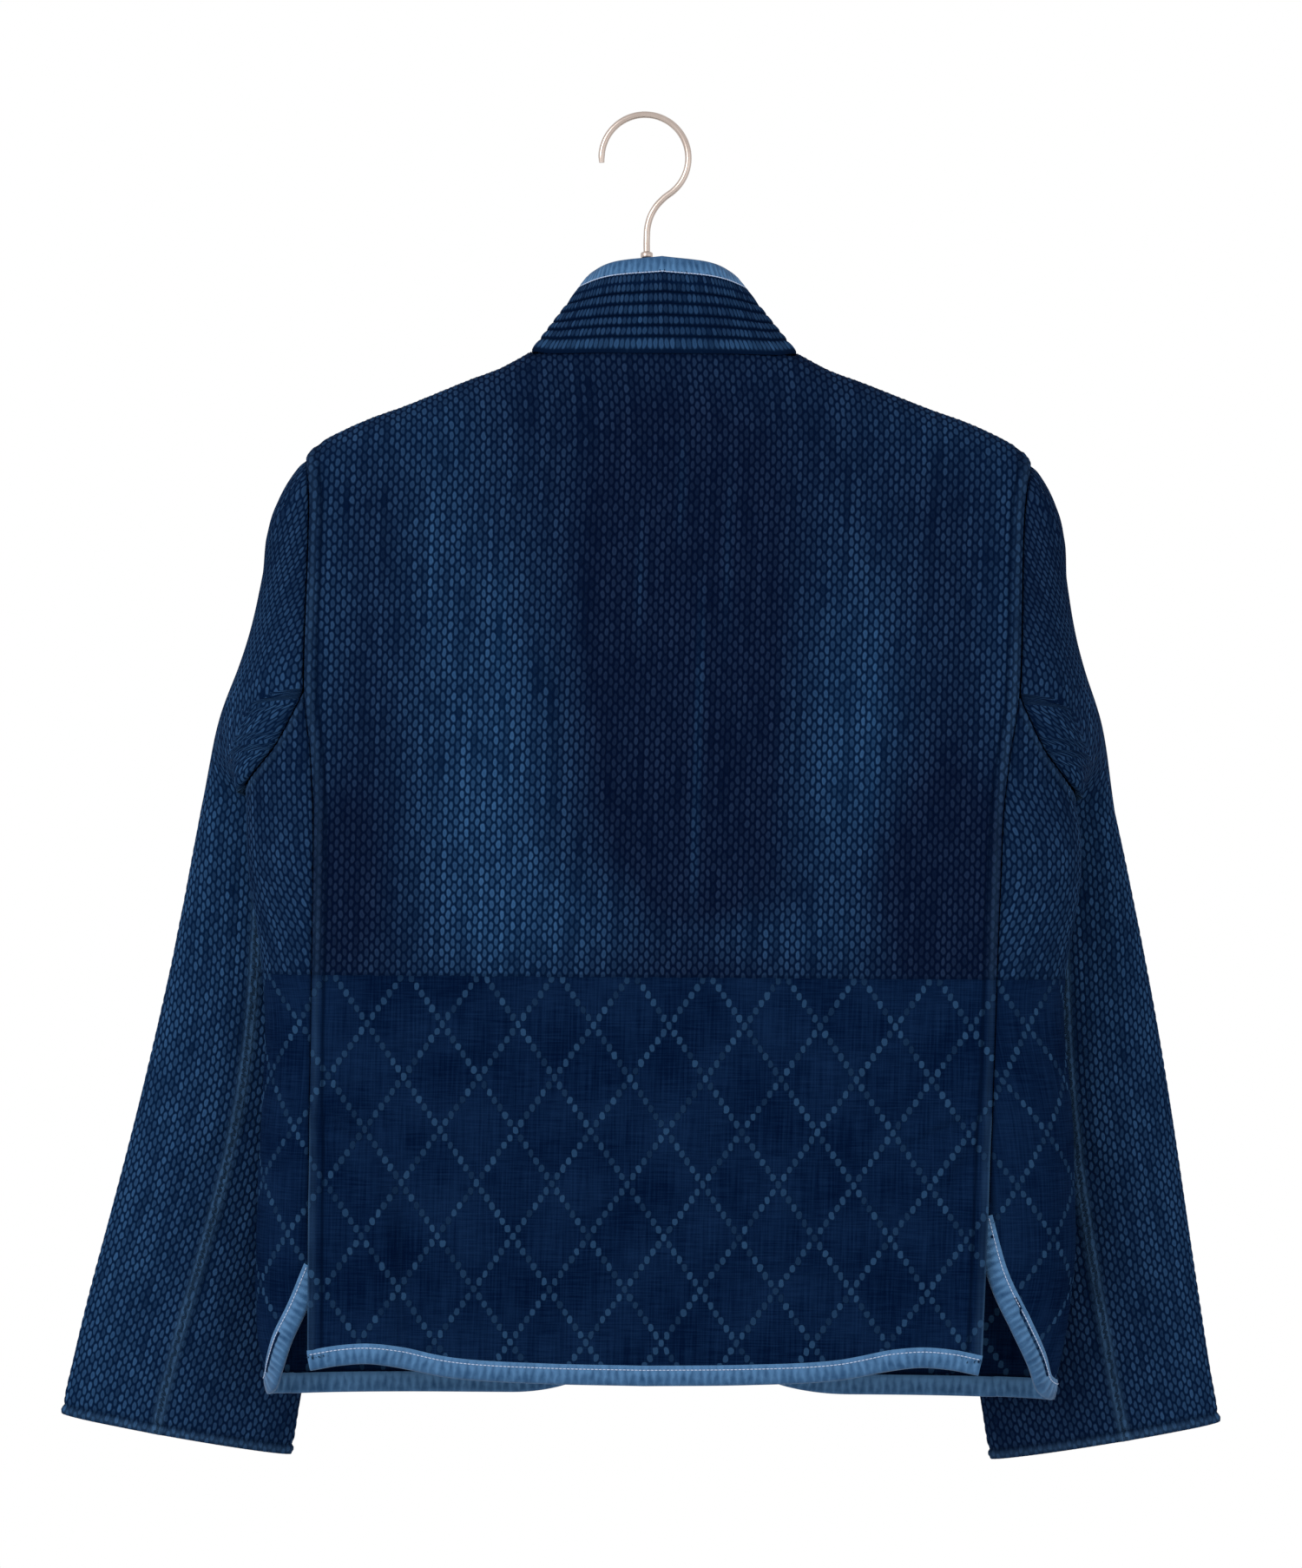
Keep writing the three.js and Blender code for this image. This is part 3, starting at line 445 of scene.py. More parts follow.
def rice_relief(u, v):
    """Raised grains: upright ovals in columns, each column half a grain from the next."""
    column = np.floor(u / COLUMN + 1e-6)
    from_middle = u / COLUMN - column - 0.5
    along = v / GRAIN + (column % 2) / 2
    from_grain = along - np.floor(along + 1e-6) - 0.5
    wide, tall = RICE_HALF
    return np.sqrt(np.clip(1 - (from_middle / wide) ** 2 - (from_grain / tall) ** 2, 0, 1))


def lozenge_relief(u, v, crossing):
    """Single grains in slanting rows that cross each other."""
    a = (u - crossing) / COLUMN
    b = (v - LOZENGE_ROW_Z) / LOZENGE_STEP
    near = np.rint(a), np.rint(b)
    on = ((near[0] + near[1]) % LOZENGE_GRAINS == 0) | ((near[0] - near[1]) % LOZENGE_GRAINS == 0)
    wide, tall = LOZENGE_HALF
    shape = 1 - ((a - near[0]) / wide) ** 2 - ((b - near[1]) / tall) ** 2
    puff = np.abs(np.sin(math.pi * (a + b) / LOZENGE_GRAINS)
                  * np.sin(math.pi * (a - b) / LOZENGE_GRAINS))
    return on * np.sqrt(np.clip(shape, 0, 1)) + LOZENGE_PUFF * np.sqrt(puff)


RICE_RISE = 0.00042
LOZENGE_RISE = 0.0007
LATTICE_X = COLUMN / 2
LATTICE_UPPER = GRAIN / 4
LATTICE_LOWER = LOZENGE_STEP / 2


def weave_relief(u, v, crossing):
    lower = v < LOWER_PANEL_Z
    return np.where(lower, LOZENGE_RISE * lozenge_relief(u, v, crossing),
                    RICE_RISE * rice_relief(u, v))


def lattice(left, right, foot, top):
    """Cloth measures on which every grain has its own points: u in columns, v in rows."""
    u = np.arange(math.floor(left / LATTICE_X), math.ceil(right / LATTICE_X) + 1) * LATTICE_X
    first = math.ceil((LOWER_PANEL_Z - LOZENGE_ROW_Z) / LATTICE_LOWER) - 1
    last = math.floor((foot - LOZENGE_ROW_Z) / LATTICE_LOWER)
    lower = LOZENGE_ROW_Z + np.arange(last, first + 1) * LATTICE_LOWER
    upper = np.arange(math.ceil(LOWER_PANEL_Z / LATTICE_UPPER), math.ceil(top / LATTICE_UPPER) + 1)
    return np.meshgrid(u, np.concatenate([lower, upper * LATTICE_UPPER]))


HEM_DEPTH = 0.0018
HEM_WIDTH = 0.0015


def turn_in(mesh, depth, width):
    """Turns a panel's edges in: a rim of the cloth's thickness, then a narrow allowance."""
    mesh.normal_update()
    edges = [e for e in mesh.edges if e.is_boundary]
    turned = {}
    for edge in edges:
        face = edge.link_faces[0]
        ends = edge.verts[0].co, edge.verts[1].co
        way = (ends[1] - ends[0]).cross(face.normal)
        if way.dot(face.calc_center_median() - ends[0]) < 0:
            way.negate()
        for vertex in edge.verts:
            turned[vertex] = turned.get(vertex, Vector()) + way
    steps = {tuple(v.co): (v.normal * -depth, way.normalized() * width)
             for v, way in turned.items()}
    for step in (0, 1):
        made = bmesh.ops.extrude_edge_only(mesh, edges=edges)["geom"]
        moved = {}
        for vertex in made:
            if isinstance(vertex, bmesh.types.BMVert):
                ways = steps[tuple(vertex.co)]
                vertex.co = vertex.co + ways[step]
                moved[tuple(vertex.co)] = ways
        steps = moved
        edges = [g for g in made if isinstance(g, bmesh.types.BMEdge)]


def cloth_piece(name, measures, places, looks, material, flip=False):
    """A panel from its points' cloth measures (u, v), places and looks (faded, worn, deep), each
    rows x columns, where deep is painted shade in grooves and seams. Points that fall together
    are merged."""
    faded, worn, deep = looks
    look = np.stack([faded, worn, np.clip(deep, 0, 1)], axis=-1)
    rows, columns = measures[0].shape
    mesh, row, column = grid_of(columns, rows)
    cloth = mesh.verts.layers.float_vector.new("cloth")
    seen = mesh.verts.layers.float_vector.new("look")
    for vertex, i, j in zip(mesh.verts, row, column):
        vertex.co = places[i, j]
        vertex[cloth] = (measures[0][i, j], measures[1][i, j], 0)
        vertex[seen] = look[i, j]
    bmesh.ops.remove_doubles(mesh, verts=mesh.verts, dist=2e-5)
    bmesh.ops.dissolve_degenerate(mesh, dist=1e-6, edges=mesh.edges)
    bmesh.ops.delete(mesh, geom=[v for v in mesh.verts if not v.link_faces], context="VERTS")
    if flip:
        bmesh.ops.reverse_faces(mesh, faces=mesh.faces)
    turn_in(mesh, HEM_DEPTH, HEM_WIDTH)
    return finish_piece(mesh, name, material)


# Wear, as (x, z, half width, half height, strength): the dye has washed out in two
# broad upright bands on the back and stays dark between them and at the lower right
BACK_FADES = [
    (-0.105, -0.42, 0.045, 0.13, 0.9),
    (-0.135, -0.25, 0.035, 0.09, 0.35),
    (-0.055, -0.49, 0.05, 0.035, 0.5),
    (0.115, -0.39, 0.035, 0.12, 0.75),
    (0.06, -0.5, 0.06, 0.02, 0.4),
    (0.03, -0.16, 0.1, 0.03, 0.1),
    (-0.205, -0.3, 0.02, 0.16, 0.3),
    (0.205, -0.3, 0.02, 0.16, 0.3),
    (-0.17, -0.19, 0.05, 0.03, 0.25),
    (0.17, -0.19, 0.05, 0.03, 0.25),
]
BACK_DARKS = [
    (0.025, -0.36, 0.045, 0.16, 0.6),
    (0.17, -0.46, 0.05, 0.06, 0.6),
    (-0.02, -0.3, 0.03, 0.12, 0.3),
    (-0.19, -0.46, 0.03, 0.06, 0.35),
]


# Columns whose yarn took the least dye, as (x, top, foot, strength)
BACK_STREAKS = [
    (-0.0985, -0.26, -0.52, 0.5), (-0.0955, -0.3, -0.5, 0.35), (0.0225, -0.27, -0.5, 0.3),
    (0.0085, -0.18, -0.27, 0.25), (0.0375, -0.2, -0.34, 0.15), (-0.015, -0.23, -0.33, 0.2),
    (0.1275, -0.27, -0.46, 0.3), (0.055, -0.45, -0.52, 0.2), (-0.14, -0.2, -0.36, 0.2),
]


def blots(x, z, places):
    return sum(s * np.exp(-((x - px) / w) ** 2 - ((z - pz) / h) ** 2) for px, pz, w, h, s in places)


def indigo_cloth(name, crossing=None, stagger=0.5):
    """Indigo-dyed cotton sashiko: matt, with raised light grains over dark gaps, columns that
    took the dye unevenly, a paler tone where it is faded or rubbed, and painted shade that
    darkens it in its grooves and seams by its look's deep share. Where crossing is given, the
    cloth below the lower panel's line is plain weave with diamonds."""
    made = new_material(name)
    cloth = add(made, "Attribute", out=1, attribute_name="cloth")
    wobble = add(made, "TexNoise", {"Vector": cloth, "Scale": 210.0, "Detail": 1.0}, out=1,
                 normalize=False)
    place = add(made, "VectorMath", (wobble, (0.0006, 0.0006, 0), cloth),
                operation="MULTIPLY_ADD")
    look = add(made, "Attribute", out=1, attribute_name="look")
    faded, worn, deep = add(made, "SeparateXYZ", (look,)).node.outputs
    u, v, _ = add(made, "SeparateXYZ", (place,)).node.outputs

    # grains: p counts columns and q the grains in a column
    p = add(made, "Math", (u, COLUMN), operation="DIVIDE")
    column = add(made, "Math", (p,), operation="FLOOR")
    shift = add(made, "Math", (column, stagger), operation="MULTIPLY")
    q = add(made, "Math", (v, 1 / GRAIN, shift), operation="MULTIPLY_ADD")
    number = add(made, "VectorMath", (add(made, "CombineXYZ", (p, q)),), operation="FLOOR")
    inside = add(made, "VectorMath", (add(made, "CombineXYZ", (p, q)),), operation="FRACTION")
    spot = add(made, "VectorMath", (inside, (2, 2.16, 0), (-1, -1.08, 0)),
               operation="MULTIPLY_ADD")
    away = add(made, "VectorMath", (spot,), out=1, operation="LENGTH")
    grain = add(made, "MapRange", {"Value": away, "From Min": 1.04, "From Max": 0.6},
                interpolation_type="SMOOTHSTEP")
    rim = add(made, "MapRange", {"Value": away, "From Min": 0.2, "From Max": 0.7, "To Min": 0.72})
    chance = add(made, "TexWhiteNoise", {"Vector": number}, noise_dimensions="2D")

    # uneven dye: each column has its own long streaks, and the cloth is cloudy all over
    strip = add(made, "CombineXYZ", (add(made, "Math", (column, 7.31), operation="MULTIPLY"),
                                     add(made, "Math", (v, 9.0), operation="MULTIPLY")))
    streak = add(made, "TexNoise", {"Vector": strip, "Scale": 1.0, "Detail": 2.0})
    uneven = add(made, "Math", (streak, 1.7, -0.7), operation="MULTIPLY_ADD")
    uneven = add(made, "Math", (chance, 0.42, uneven), operation="MULTIPLY_ADD")
    cloud = add(made, "TexNoise", {"Vector": cloth, "Scale": 22.0, "Detail": 3.0})
    uneven = add(made, "Math", (cloud, 0.5, uneven), operation="MULTIPLY_ADD", use_clamp=True)
    lit = add(made, "Math", (grain, rim), operation="MULTIPLY")
    lit = add(made, "Math", (lit, uneven), operation="MULTIPLY")
    dark_gap = add(made, "Mix", {0: faded, 6: srgb("020a20"), 7: srgb("041630")}, **TWO_COLOURS)
    pale_grain = add(made, "Mix", {0: faded, 6: srgb("17253e"), 7: srgb("2c4e74")}, **TWO_COLOURS)
    colour = add(made, "Mix", {0: lit, 6: dark_gap, 7: pale_grain}, **TWO_COLOURS)
    height = grain

    if crossing is not None:
        grid = add(made, "VectorMath", (
            place, (1 / COLUMN, 1 / LOZENGE_STEP, 0),
            (0.5 - crossing / COLUMN, 0.5 - LOZENGE_ROW_Z / LOZENGE_STEP, 0)),
            operation="MULTIPLY_ADD")
        near = add(made, "VectorMath", (grid,), operation="FLOOR")
        a, b, _ = add(made, "SeparateXYZ", (near,)).node.outputs
        rising = add(made, "Math", (a, b), operation="ADD")
        rising = add(made, "Math", (rising, LOZENGE_GRAINS), operation="FLOORED_MODULO")
        falling = add(made, "Math", (a, b), operation="SUBTRACT")
        falling = add(made, "Math", (falling, LOZENGE_GRAINS), operation="FLOORED_MODULO")
        nearest = add(made, "Math", (rising, falling), operation="MINIMUM")
        on = add(made, "Math", (nearest, 0.5), operation="LESS_THAN")
        inside = add(made, "VectorMath", (grid,), operation="FRACTION")
        spot = add(made, "VectorMath", (inside, (2, 2.05, 0), (-1, -1.025, 0)),
                   operation="MULTIPLY_ADD")
        off = add(made, "VectorMath", (spot,), out=1, operation="LENGTH")
        single = add(made, "MapRange", {"Value": off, "From Min": 1.3, "From Max": 0.95},
                     interpolation_type="SMOOTHSTEP")
        single = add(made, "Math", (single, on), operation="MULTIPLY")
        weft = add(made, "Mapping", {"Vector": cloth, "Scale": (60, 1100, 1)})
        slub = add(made, "TexNoise", {"Vector": weft, "Scale": 1.0, "Detail": 3.0})
        warp = add(made, "Mapping", {"Vector": cloth, "Scale": (900, 30, 1)})
        warps = add(made, "TexNoise", {"Vector": warp, "Scale": 1.0, "Detail": 2.0})
        weave = add(made, "Math", (slub, warps), operation="ADD")
        weave = add(made, "Math", (weave, cloud), operation="ADD")
        weave = add(made, "MapRange", {"Value": weave, "From Min": 1.2, "From Max": 1.85})
        ground = add(made, "Mix", {0: weave, 6: srgb("010c24"), 7: srgb("0b1e3a")}, **TWO_COLOURS)
        gap = add(made, "Math", (on, 0.8), operation="MULTIPLY")
        ground = add(made, "Mix", {0: gap, 6: ground, 7: srgb("010d26")}, **TWO_COLOURS)
        chance = add(made, "TexWhiteNoise", {"Vector": near}, noise_dimensions="2D")
        bright = add(made, "MapRange", {"Value": chance, "To Min": 0.22, "To Max": 0.78})
        raised = add(made, "Math", (single, bright), operation="MULTIPLY")
        ground = add(made, "Mix", {0: raised, 6: ground, 7: srgb("24405f")}, **TWO_COLOURS)
        lower = add(made, "Math", (v, LOWER_PANEL_Z), operation="LESS_THAN")
        colour = add(made, "Mix", {0: lower, 6: colour, 7: ground}, **TWO_COLOURS)
        plain = add(made, "Math", (slub, 0.5, single), operation="MULTIPLY_ADD")
        height = add(made, "Mix", {0: lower, 2: grain, 3: plain})

    rubbed = add(made, "Math", (worn, cloud), operation="MULTIPLY")
    colour = add(made, "Mix", {0: rubbed, 6: colour, 7: srgb("385676")}, **TWO_COLOURS)
    # painted shade: the deep share darkens the cloth towards near black in its grooves and seams
    colour = add(made, "Mix", {0: deep, 6: colour, 7: srgb("010a1e")}, **TWO_COLOURS)
    yarn = add(made, "TexNoise", {"Vector": cloth, "Scale": 2600.0, "Detail": 2.0})
    height = add(made, "Math", (yarn, 0.35, height), operation="MULTIPLY_ADD")
    bump = add(made, "Bump", {"Height": height, "Strength": 0.8, "Distance": 0.0007})
    finish = add(made, "BsdfPrincipled", {
        "Base Color": colour, "Roughness": 0.95, "Normal": bump, "Specular IOR Level": 0.01})
    add(made, "OutputMaterial", {"Surface": finish})
    return made


back_cotton = indigo_cloth("faded_indigo_sashiko_back", BACK_LOZENGE_X)

# SEAM_AT and STITCH_AT are how far the seam's ridge and its stitches lie in from the side edge,
# and UNDER_TAPE is how far the cloth reaches under the tape
SEAM_RIDGE = 0.0007
SEAM_AT = 0.0034
STITCH_AT = 0.0074
SEAM_BAND = 0.188
TAPE_GAP = 0.0006
UNDER_TAPE = 0.002
UNDER_RISE = 0.0005
CLOTH_TOP = -0.1
BACK_FOOT = -0.775
PALE_YARN = 0.0024


def edge_relief(distance, ridge_at=SEAM_AT, groove_at=STITCH_AT):
    """The turned edge under a seam: a rounded ridge, then the groove of its row of stitches."""
    ridge = SEAM_RIDGE * bell(distance - ridge_at, 0.0026)
    return ridge - 0.0007 * bell(distance - groove_at, 0.0011)


# Towards each side edge the columns close up, so that the last one runs along it
u, v = lattice(-SHOULDER_TIP_X, SHOULDER_TIP_X, BACK_FOOT, CLOTH_TOP)
z, _ = over_shoulder(u, v)
edge = back_edge(z) - GAP
beside = SEAM_BAND + (np.abs(u) - SEAM_BAND) * (edge - SEAM_BAND) / (u.max() - SEAM_BAND)
u = np.where(np.abs(u) > SEAM_BAND, np.sign(u) * beside, u)
neck = np.where(np.abs(u) < SHOULDER_NECK_X - 0.001, BACK_NECK_Z, shoulder_z(u))
v = np.clip(v, back_hem(np.abs(u)) + TAPE - UNDER_TAPE, cloth_height(u, neck))
z, _ = over_shoulder(u, v)
from_edge = edge - np.abs(u)
from_neck = BACK_NECK_Z - z + 0.004 * (np.abs(u) > SHOULDER_NECK_X)
open_slit = np.clip((SLIT_TOP_Z - z) / 0.01, 0, 1)
ridge = edge_relief(from_edge, SEAM_AT, STITCH_AT + 0.0012 * open_slit)
out = weave_relief(u, v, BACK_LOZENGE_X) * (from_edge > 0) + ridge
out -= 0.0008 * bell(from_neck, 0.0018) * (np.abs(u) < SHOULDER_NECK_X)
above_tape = np.clip((v - back_hem(np.abs(u)) - TAPE - TAPE_GAP) / 0.004, 0, 1)
out = out * above_tape - UNDER_RISE * (1 - above_tape)
faded = np.clip(0.14 + blots(u, z, BACK_FADES) - blots(u, z, BACK_DARKS), 0, 1)
streaks = sum(strength * bell(u - x, PALE_YARN) * np.clip((top - z) / 0.06, 0, 1)
              * np.clip((z - foot) / 0.05, 0, 1) for x, top, foot, strength in BACK_STREAKS)
faded = np.clip(faded + 1.3 * streaks * (z > LOWER_PANEL_Z), 0, 1.4)
worn = 0.22 * bell(from_edge - 0.0028, 0.0022) + 1.3 * bell(from_edge, 0.0008) * open_slit
# deep is painted shade: darker in the stitched groove by each side edge and in the neck seam's
# trough, with a darker line where the diamonds begin
deep = 0.85 * bell(from_edge - STITCH_AT - 0.0012 * open_slit, 0.0011)
deep = deep + 0.8 * bell(from_neck, 0.0022) * (np.abs(u) < SHOULDER_NECK_X)
deep = deep + 0.5 * bell(v - LOWER_PANEL_Z, 0.0012)
back = cloth_piece("back_cloth", (u, v), lifted(back_face, u, v, out), (faded, worn, deep),
                   back_cotton)
stands_for(back, "back_panel")


# Front and side panels: each one piece of the same cloth, from the seam at the back's edge round
# the side to the open front, with the diamonds below. The front corner is rounded, and the
# lower edge curves up at the side to leave the slit open.
FRONT_ROUND = 0.11
FRONT_HEM_Z = -0.781
FRONT_CORNER = {-1: (0.086, 0.05), 1: (0.1, 0.053)}
FRONT_LOZENGE = {-1: -6 * COLUMN, 1: -25 * COLUMN}

front_depth = smooth_line([(-0.145, 0.02), (-0.26, 0.024), (-0.42, 0.024), (-0.78, 0.026)])
front_neck = smooth_line([(0.011, -0.204), (0.042, -0.19), (0.066, -0.166), (0.0814, -0.1435)])
armhole_scoop = smooth_line([(-1, -0.352), (-0.85, -0.366), (-0.52, -0.391), (0, -0.411),
                             (0.48, -0.4), (0.85, -0.374), (1, -0.352)])
front_edge = {-1: smooth_line([(-0.204, 0.012), (-0.727, 0.012)]),
              1: smooth_line([(-0.204, 0.012), (-0.727, 0.041)])}
vent = {
    -1: smooth_line([(0, -0.697), (0.009, -0.722), (0.019, -0.742), (0.027, -0.757),
                     (0.036, -0.768), (0.06, -0.771)]),
    1: smooth_line([(0, -0.664), (0.01, -0.7), (0.024, -0.728), (0.038, -0.751),
                    (0.048, -0.766), (0.072, -0.771)]),
}
ARC = np.linspace(0, math.pi / 2, 49)
LEVELS = np.linspace(-0.8, -0.19, 306)


def arc_lengths(half, deep):
    """Lengths along quarter ellipses from their tips, one row for each depth."""
    steps = np.hypot(half * np.diff(np.cos(ARC)), np.multiply.outer(deep, np.diff(np.sin(ARC))))
    return np.concatenate([np.zeros(steps.shape[:-1] + (1,)), np.cumsum(steps, axis=-1)], axis=-1)


def along_ellipse(half, deep, girth):
    """How far in and out a girth from the tip of a quarter ellipse reaches."""
    lengths = arc_lengths(half, deep)
    k = np.clip((lengths <= girth[..., None]).sum(-1) - 1, 0, len(ARC) - 2)
    start = np.take_along_axis(lengths, k[..., None], -1)[..., 0]
    end = np.take_along_axis(lengths, k[..., None] + 1, -1)[..., 0]
    turn = np.minimum(ARC[k] + (girth - start) / (end - start) * ARC[1], math.pi / 2)
    past = np.maximum(girth - lengths[..., -1], 0)
    return half * (1 - np.cos(turn)) + past, deep * np.sin(turn)


def girth_at(half, deep, inward):
    """The girth at which such an ellipse is a given way in from its tip."""
    lengths = arc_lengths(half, deep)
    turn = np.arccos(1 - np.clip(inward / half, 0, 1))
    found = [np.interp(t, ARC, row) for t, row in zip(turn, lengths)]
    return np.array(found) + np.maximum(inward - half, 0)


seam_table = {s: girth_at(BACK_ROUND, back_depth(LEVELS), side_fold[s](LEVELS) - back_edge(LEVELS))
              for s in (-1, 1)}
arm_table = {s: girth_at(FRONT_ROUND, front_depth(LEVELS), side_fold[s](LEVELS) - ARMHOLE_X)
             for s in (-1, 1)}


def arm_girth(side, z):
    return np.interp(z, LEVELS, arm_table[side])


def side_seam(side, z):
    """Where the side seam is, measured round from the line of the armhole's upright edge."""
    return -np.interp(z, LEVELS, seam_table[side]) - arm_girth(side, z)


FRONT_CREASES = [
    ((0.15, -0.22), (0.12, -0.5), 0.02, 0.0016),
    ((0.19, -0.3), (0.17, -0.55), 0.012, -0.0014),
    ((0.08, -0.24), (0.07, -0.6), 0.026, -0.0014),
    ((0.05, -0.45), (0.06, -0.74), 0.018, 0.0016),
    ((0.13, -0.56), (0.12, -0.75), 0.016, -0.0014),
    ((0.2, -0.44), (0.14, -0.5), 0.009, -0.0014),
]


def front_face(side):
    """A front's face by w, how far it is past the armhole's upright edge, and less than 0 round
    the side. In front, x is straight across from that edge."""
    def face(w, v):
        z, full = over_shoulder(np.minimum(ARMHOLE_X - w, SHOULDER_TIP_X), v)
        fold = side_fold[side](z)
        girth = w + arm_girth(side, z)
        inward, out_behind = along_ellipse(BACK_ROUND, back_depth(z), np.maximum(-girth, 0))
        inward_before, out_before = along_ellipse(FRONT_ROUND, front_depth(z), np.maximum(girth, 0))
        x = np.where(girth < 0, fold - inward, fold - inward_before)
        x = np.where(w > 0, ARMHOLE_X - w, x)
        out_front = front_depth(z) * round_off((fold - x) / FRONT_ROUND)
        y = np.where(w > 0, out_front, out_before) * full
        y = np.where(z > ARMHOLE_CORNER_Z, np.maximum(y, GAP / 2), y)
        y = y + creases(x, z, FRONT_CREASES) * full * (girth > 0.02)
        return np.stack([side * x, np.where(girth < 0, -out_behind, y), z], axis=-1)
    return face


COLUMN_SPREAD = np.linspace(0, 1, 101)


def front_foot(side, w, z):
    """Height of a front's lower edge, before its tape."""
    hem = FRONT_HEM_Z + TAPE
    around = (side_seam(side, z) - w) * side_seam(side, hem) / side_seam(side, z)
    around = np.abs(around)
    reach, rise = FRONT_CORNER[side]
    wide = ARMHOLE_X - front_edge[side](hem)
    spread = COLUMN_SPREAD + 0.22 * COLUMN_SPREAD ** 2 * (1 - COLUMN_SPREAD)
    from_edge = (1 - np.interp(w / wide, spread, COLUMN_SPREAD)) * wide
    corner = hem + rise * (1 - round_off(from_edge / (reach - TAPE)))
    return np.where(w < 0, vent[side](around), corner)


FRONT_LATTICE = (-0.127, 0.208, -0.79, CLOTH_TOP)
CUT_ROUNDS = 5
FRONT_FADES = [
    (0.12, -0.42, 0.05, 0.12, 0.6),
    (0.05, -0.35, 0.04, 0.14, 0.4),
    (0.17, -0.22, 0.05, 0.04, 0.3),
    (0.23, -0.5, 0.03, 0.08, 0.2),
]
for side, name in ((-1, "left"), (1, "right")):
    face = front_face(side)
    # the lattice is cut back to the seams, the neck, the armhole and the tape, in a few rounds
    # because each edge's place depends on the others
    lattice_w, lattice_v = lattice(*FRONT_LATTICE)
    w, v = lattice_w, lattice_v
    for _ in range(CUT_ROUNDS):
        x = np.minimum(ARMHOLE_X - w, SHOULDER_TIP_X)
        z, _ = over_shoulder(x, v)
        w = np.maximum(lattice_w, side_seam(side, z) + GAP)
        w = np.minimum(w, ARMHOLE_X - front_edge[side](z) + UNDER_TAPE)
        beside = (z > ARMHOLE_CORNER_Z) & (w > ARMHOLE_X - SHOULDER_TIP_X)
        w = np.where(beside, np.maximum(w, ARMHOLE_X - back_edge(z)), w)
        x = np.minimum(ARMHOLE_X - w, SHOULDER_TIP_X)
        neck = x < SHOULDER_NECK_X - 0.001
        top = cloth_height(x, np.where(neck, front_neck(x), shoulder_z(x)))
        girth = w + arm_girth(side, z)
        behind = side_seam(side, z) + arm_girth(side, z)
        part = np.where(girth < 0, -girth / behind, girth / arm_girth(side, z))
        scoop = armhole_scoop(np.clip(np.where(girth < 0, -np.abs(part), part), -1, 1))
        top = np.where(w > ARMHOLE_X - SHOULDER_TIP_X, top, scoop)
        foot = front_foot(side, w, v)
        v = np.clip(lattice_v, foot - UNDER_TAPE, top)
    z, _ = over_shoulder(x, v)
    from_seam = w - side_seam(side, z)
    from_armhole = np.where(w > ARMHOLE_X - SHOULDER_TIP_X, w - ARMHOLE_X + back_edge(z), scoop - v)
    from_armhole = np.where((w > 0.01) | (z > ARMHOLE_CORNER_Z - 0.02), from_armhole, scoop - v)
    clear_of_it = (w > 0.03) | ((w > -0.005) & (z < -0.38))
    from_armhole = np.where(clear_of_it, 1.0, from_armhole)
    out = weave_relief(w, v, FRONT_LOZENGE[side]) + 0.6 * edge_relief(np.abs(from_armhole))
    out = out - 0.0009 * bell(from_seam, 0.0045)
    above_tape = np.clip((v - foot - TAPE_GAP) / np.where(w < 0, 0.016, 0.004), 0, 1)
    out = out * above_tape - UNDER_RISE * (1 - above_tape)
    faded = np.clip(0.35 + blots(np.abs(x), z, FRONT_FADES), 0, 1)
    worn = 0.3 * bell(from_armhole - 0.003, 0.002)
    # deep is painted shade: darker in the side seam's trough and in the armhole's stitched groove,
    # with a darker line where the diamonds begin
    deep = 0.6 * bell(from_seam, 0.0018) + 0.6 * bell(np.abs(from_armhole) - STITCH_AT, 0.0009)
    deep = deep + 0.5 * bell(v - LOWER_PANEL_Z, 0.0012)
    cotton = indigo_cloth("faded_indigo_sashiko_front_" + name, FRONT_LOZENGE[side])
    front = cloth_piece("front_cloth_" + name, (w, v), lifted(face, w, v, out, side),
                        (faded, worn, deep), cotton, flip=side < 0)
    stands_for(front, "front_" + name)


# Sleeves: each one piece of the sashiko without diamonds, sewn into the armhole and closed by a
# felled seam down the back of the arm. They hang a little forward, soft at the elbow, and the
# cuff is a narrow turned hem stitched down.
BICEP = (0.217, 0.062, -0.436, 0.068, 0.034, 0.2)
CUFF = (0.2865, 0.045, -0.8115, 0.072, 0.017, 0.17)
ARM_BOW = {-1: -0.004, 1: 0.008}
ARM_FLARE = {-1: 0.0036, 1: 0.0}
SLEEVE_SLOPE = 0.2
SLEEVE_GRAINS = 102
SLEEVE_AROUND = SLEEVE_GRAINS * COLUMN
HALF_COLUMNS = SLEEVE_GRAINS * 2
ARMHOLE_GAP = 0.0008
CAP_PULL = 1.12
CAP_EASE = 0.02

seam_turn = smooth_line([(0, -66), (0.45, -84), (1, -81)])
cap_leaves = [smooth_line(points) for points in (
    [(0, 0.9), (0.12, 1), (0.28, 0.95), (0.5, 0.66), (0.62, 0.3), (0.75, 0), (0.9, 0.3), (1, 0.9)],
    [(0, 0.3), (0.12, 0), (0.28, 0.1), (0.5, 0.1), (0.62, 0.5), (0.75, 0.7), (0.9, 0.8), (1, 0.3)],
    [(0, -0.3), (0.12, 0), (0.28, -0.4), (0.5, -0.75), (0.62, -0.8), (0.75, -0.7), (0.9, -0.3),
     (1, -0.3)],
)]
ARM_LENGTH = BICEP[2] - CUFF[2]


def arm_section(side, down):
    """Middle, half width, half depth and rise of the arm at down, from 0 at the bicep to 1."""
    x, y, z, half, deep, rise = [a + (b - a) * down for a, b in zip(BICEP, CUFF)]
    x = x + ARM_BOW[side] * np.sin(math.pi * np.clip(down, 0, 1)) * (1 - down)
    x = x + ARM_FLARE[side] * bell(down - 0.9, 0.28)
    return x, y, z, half, deep, rise


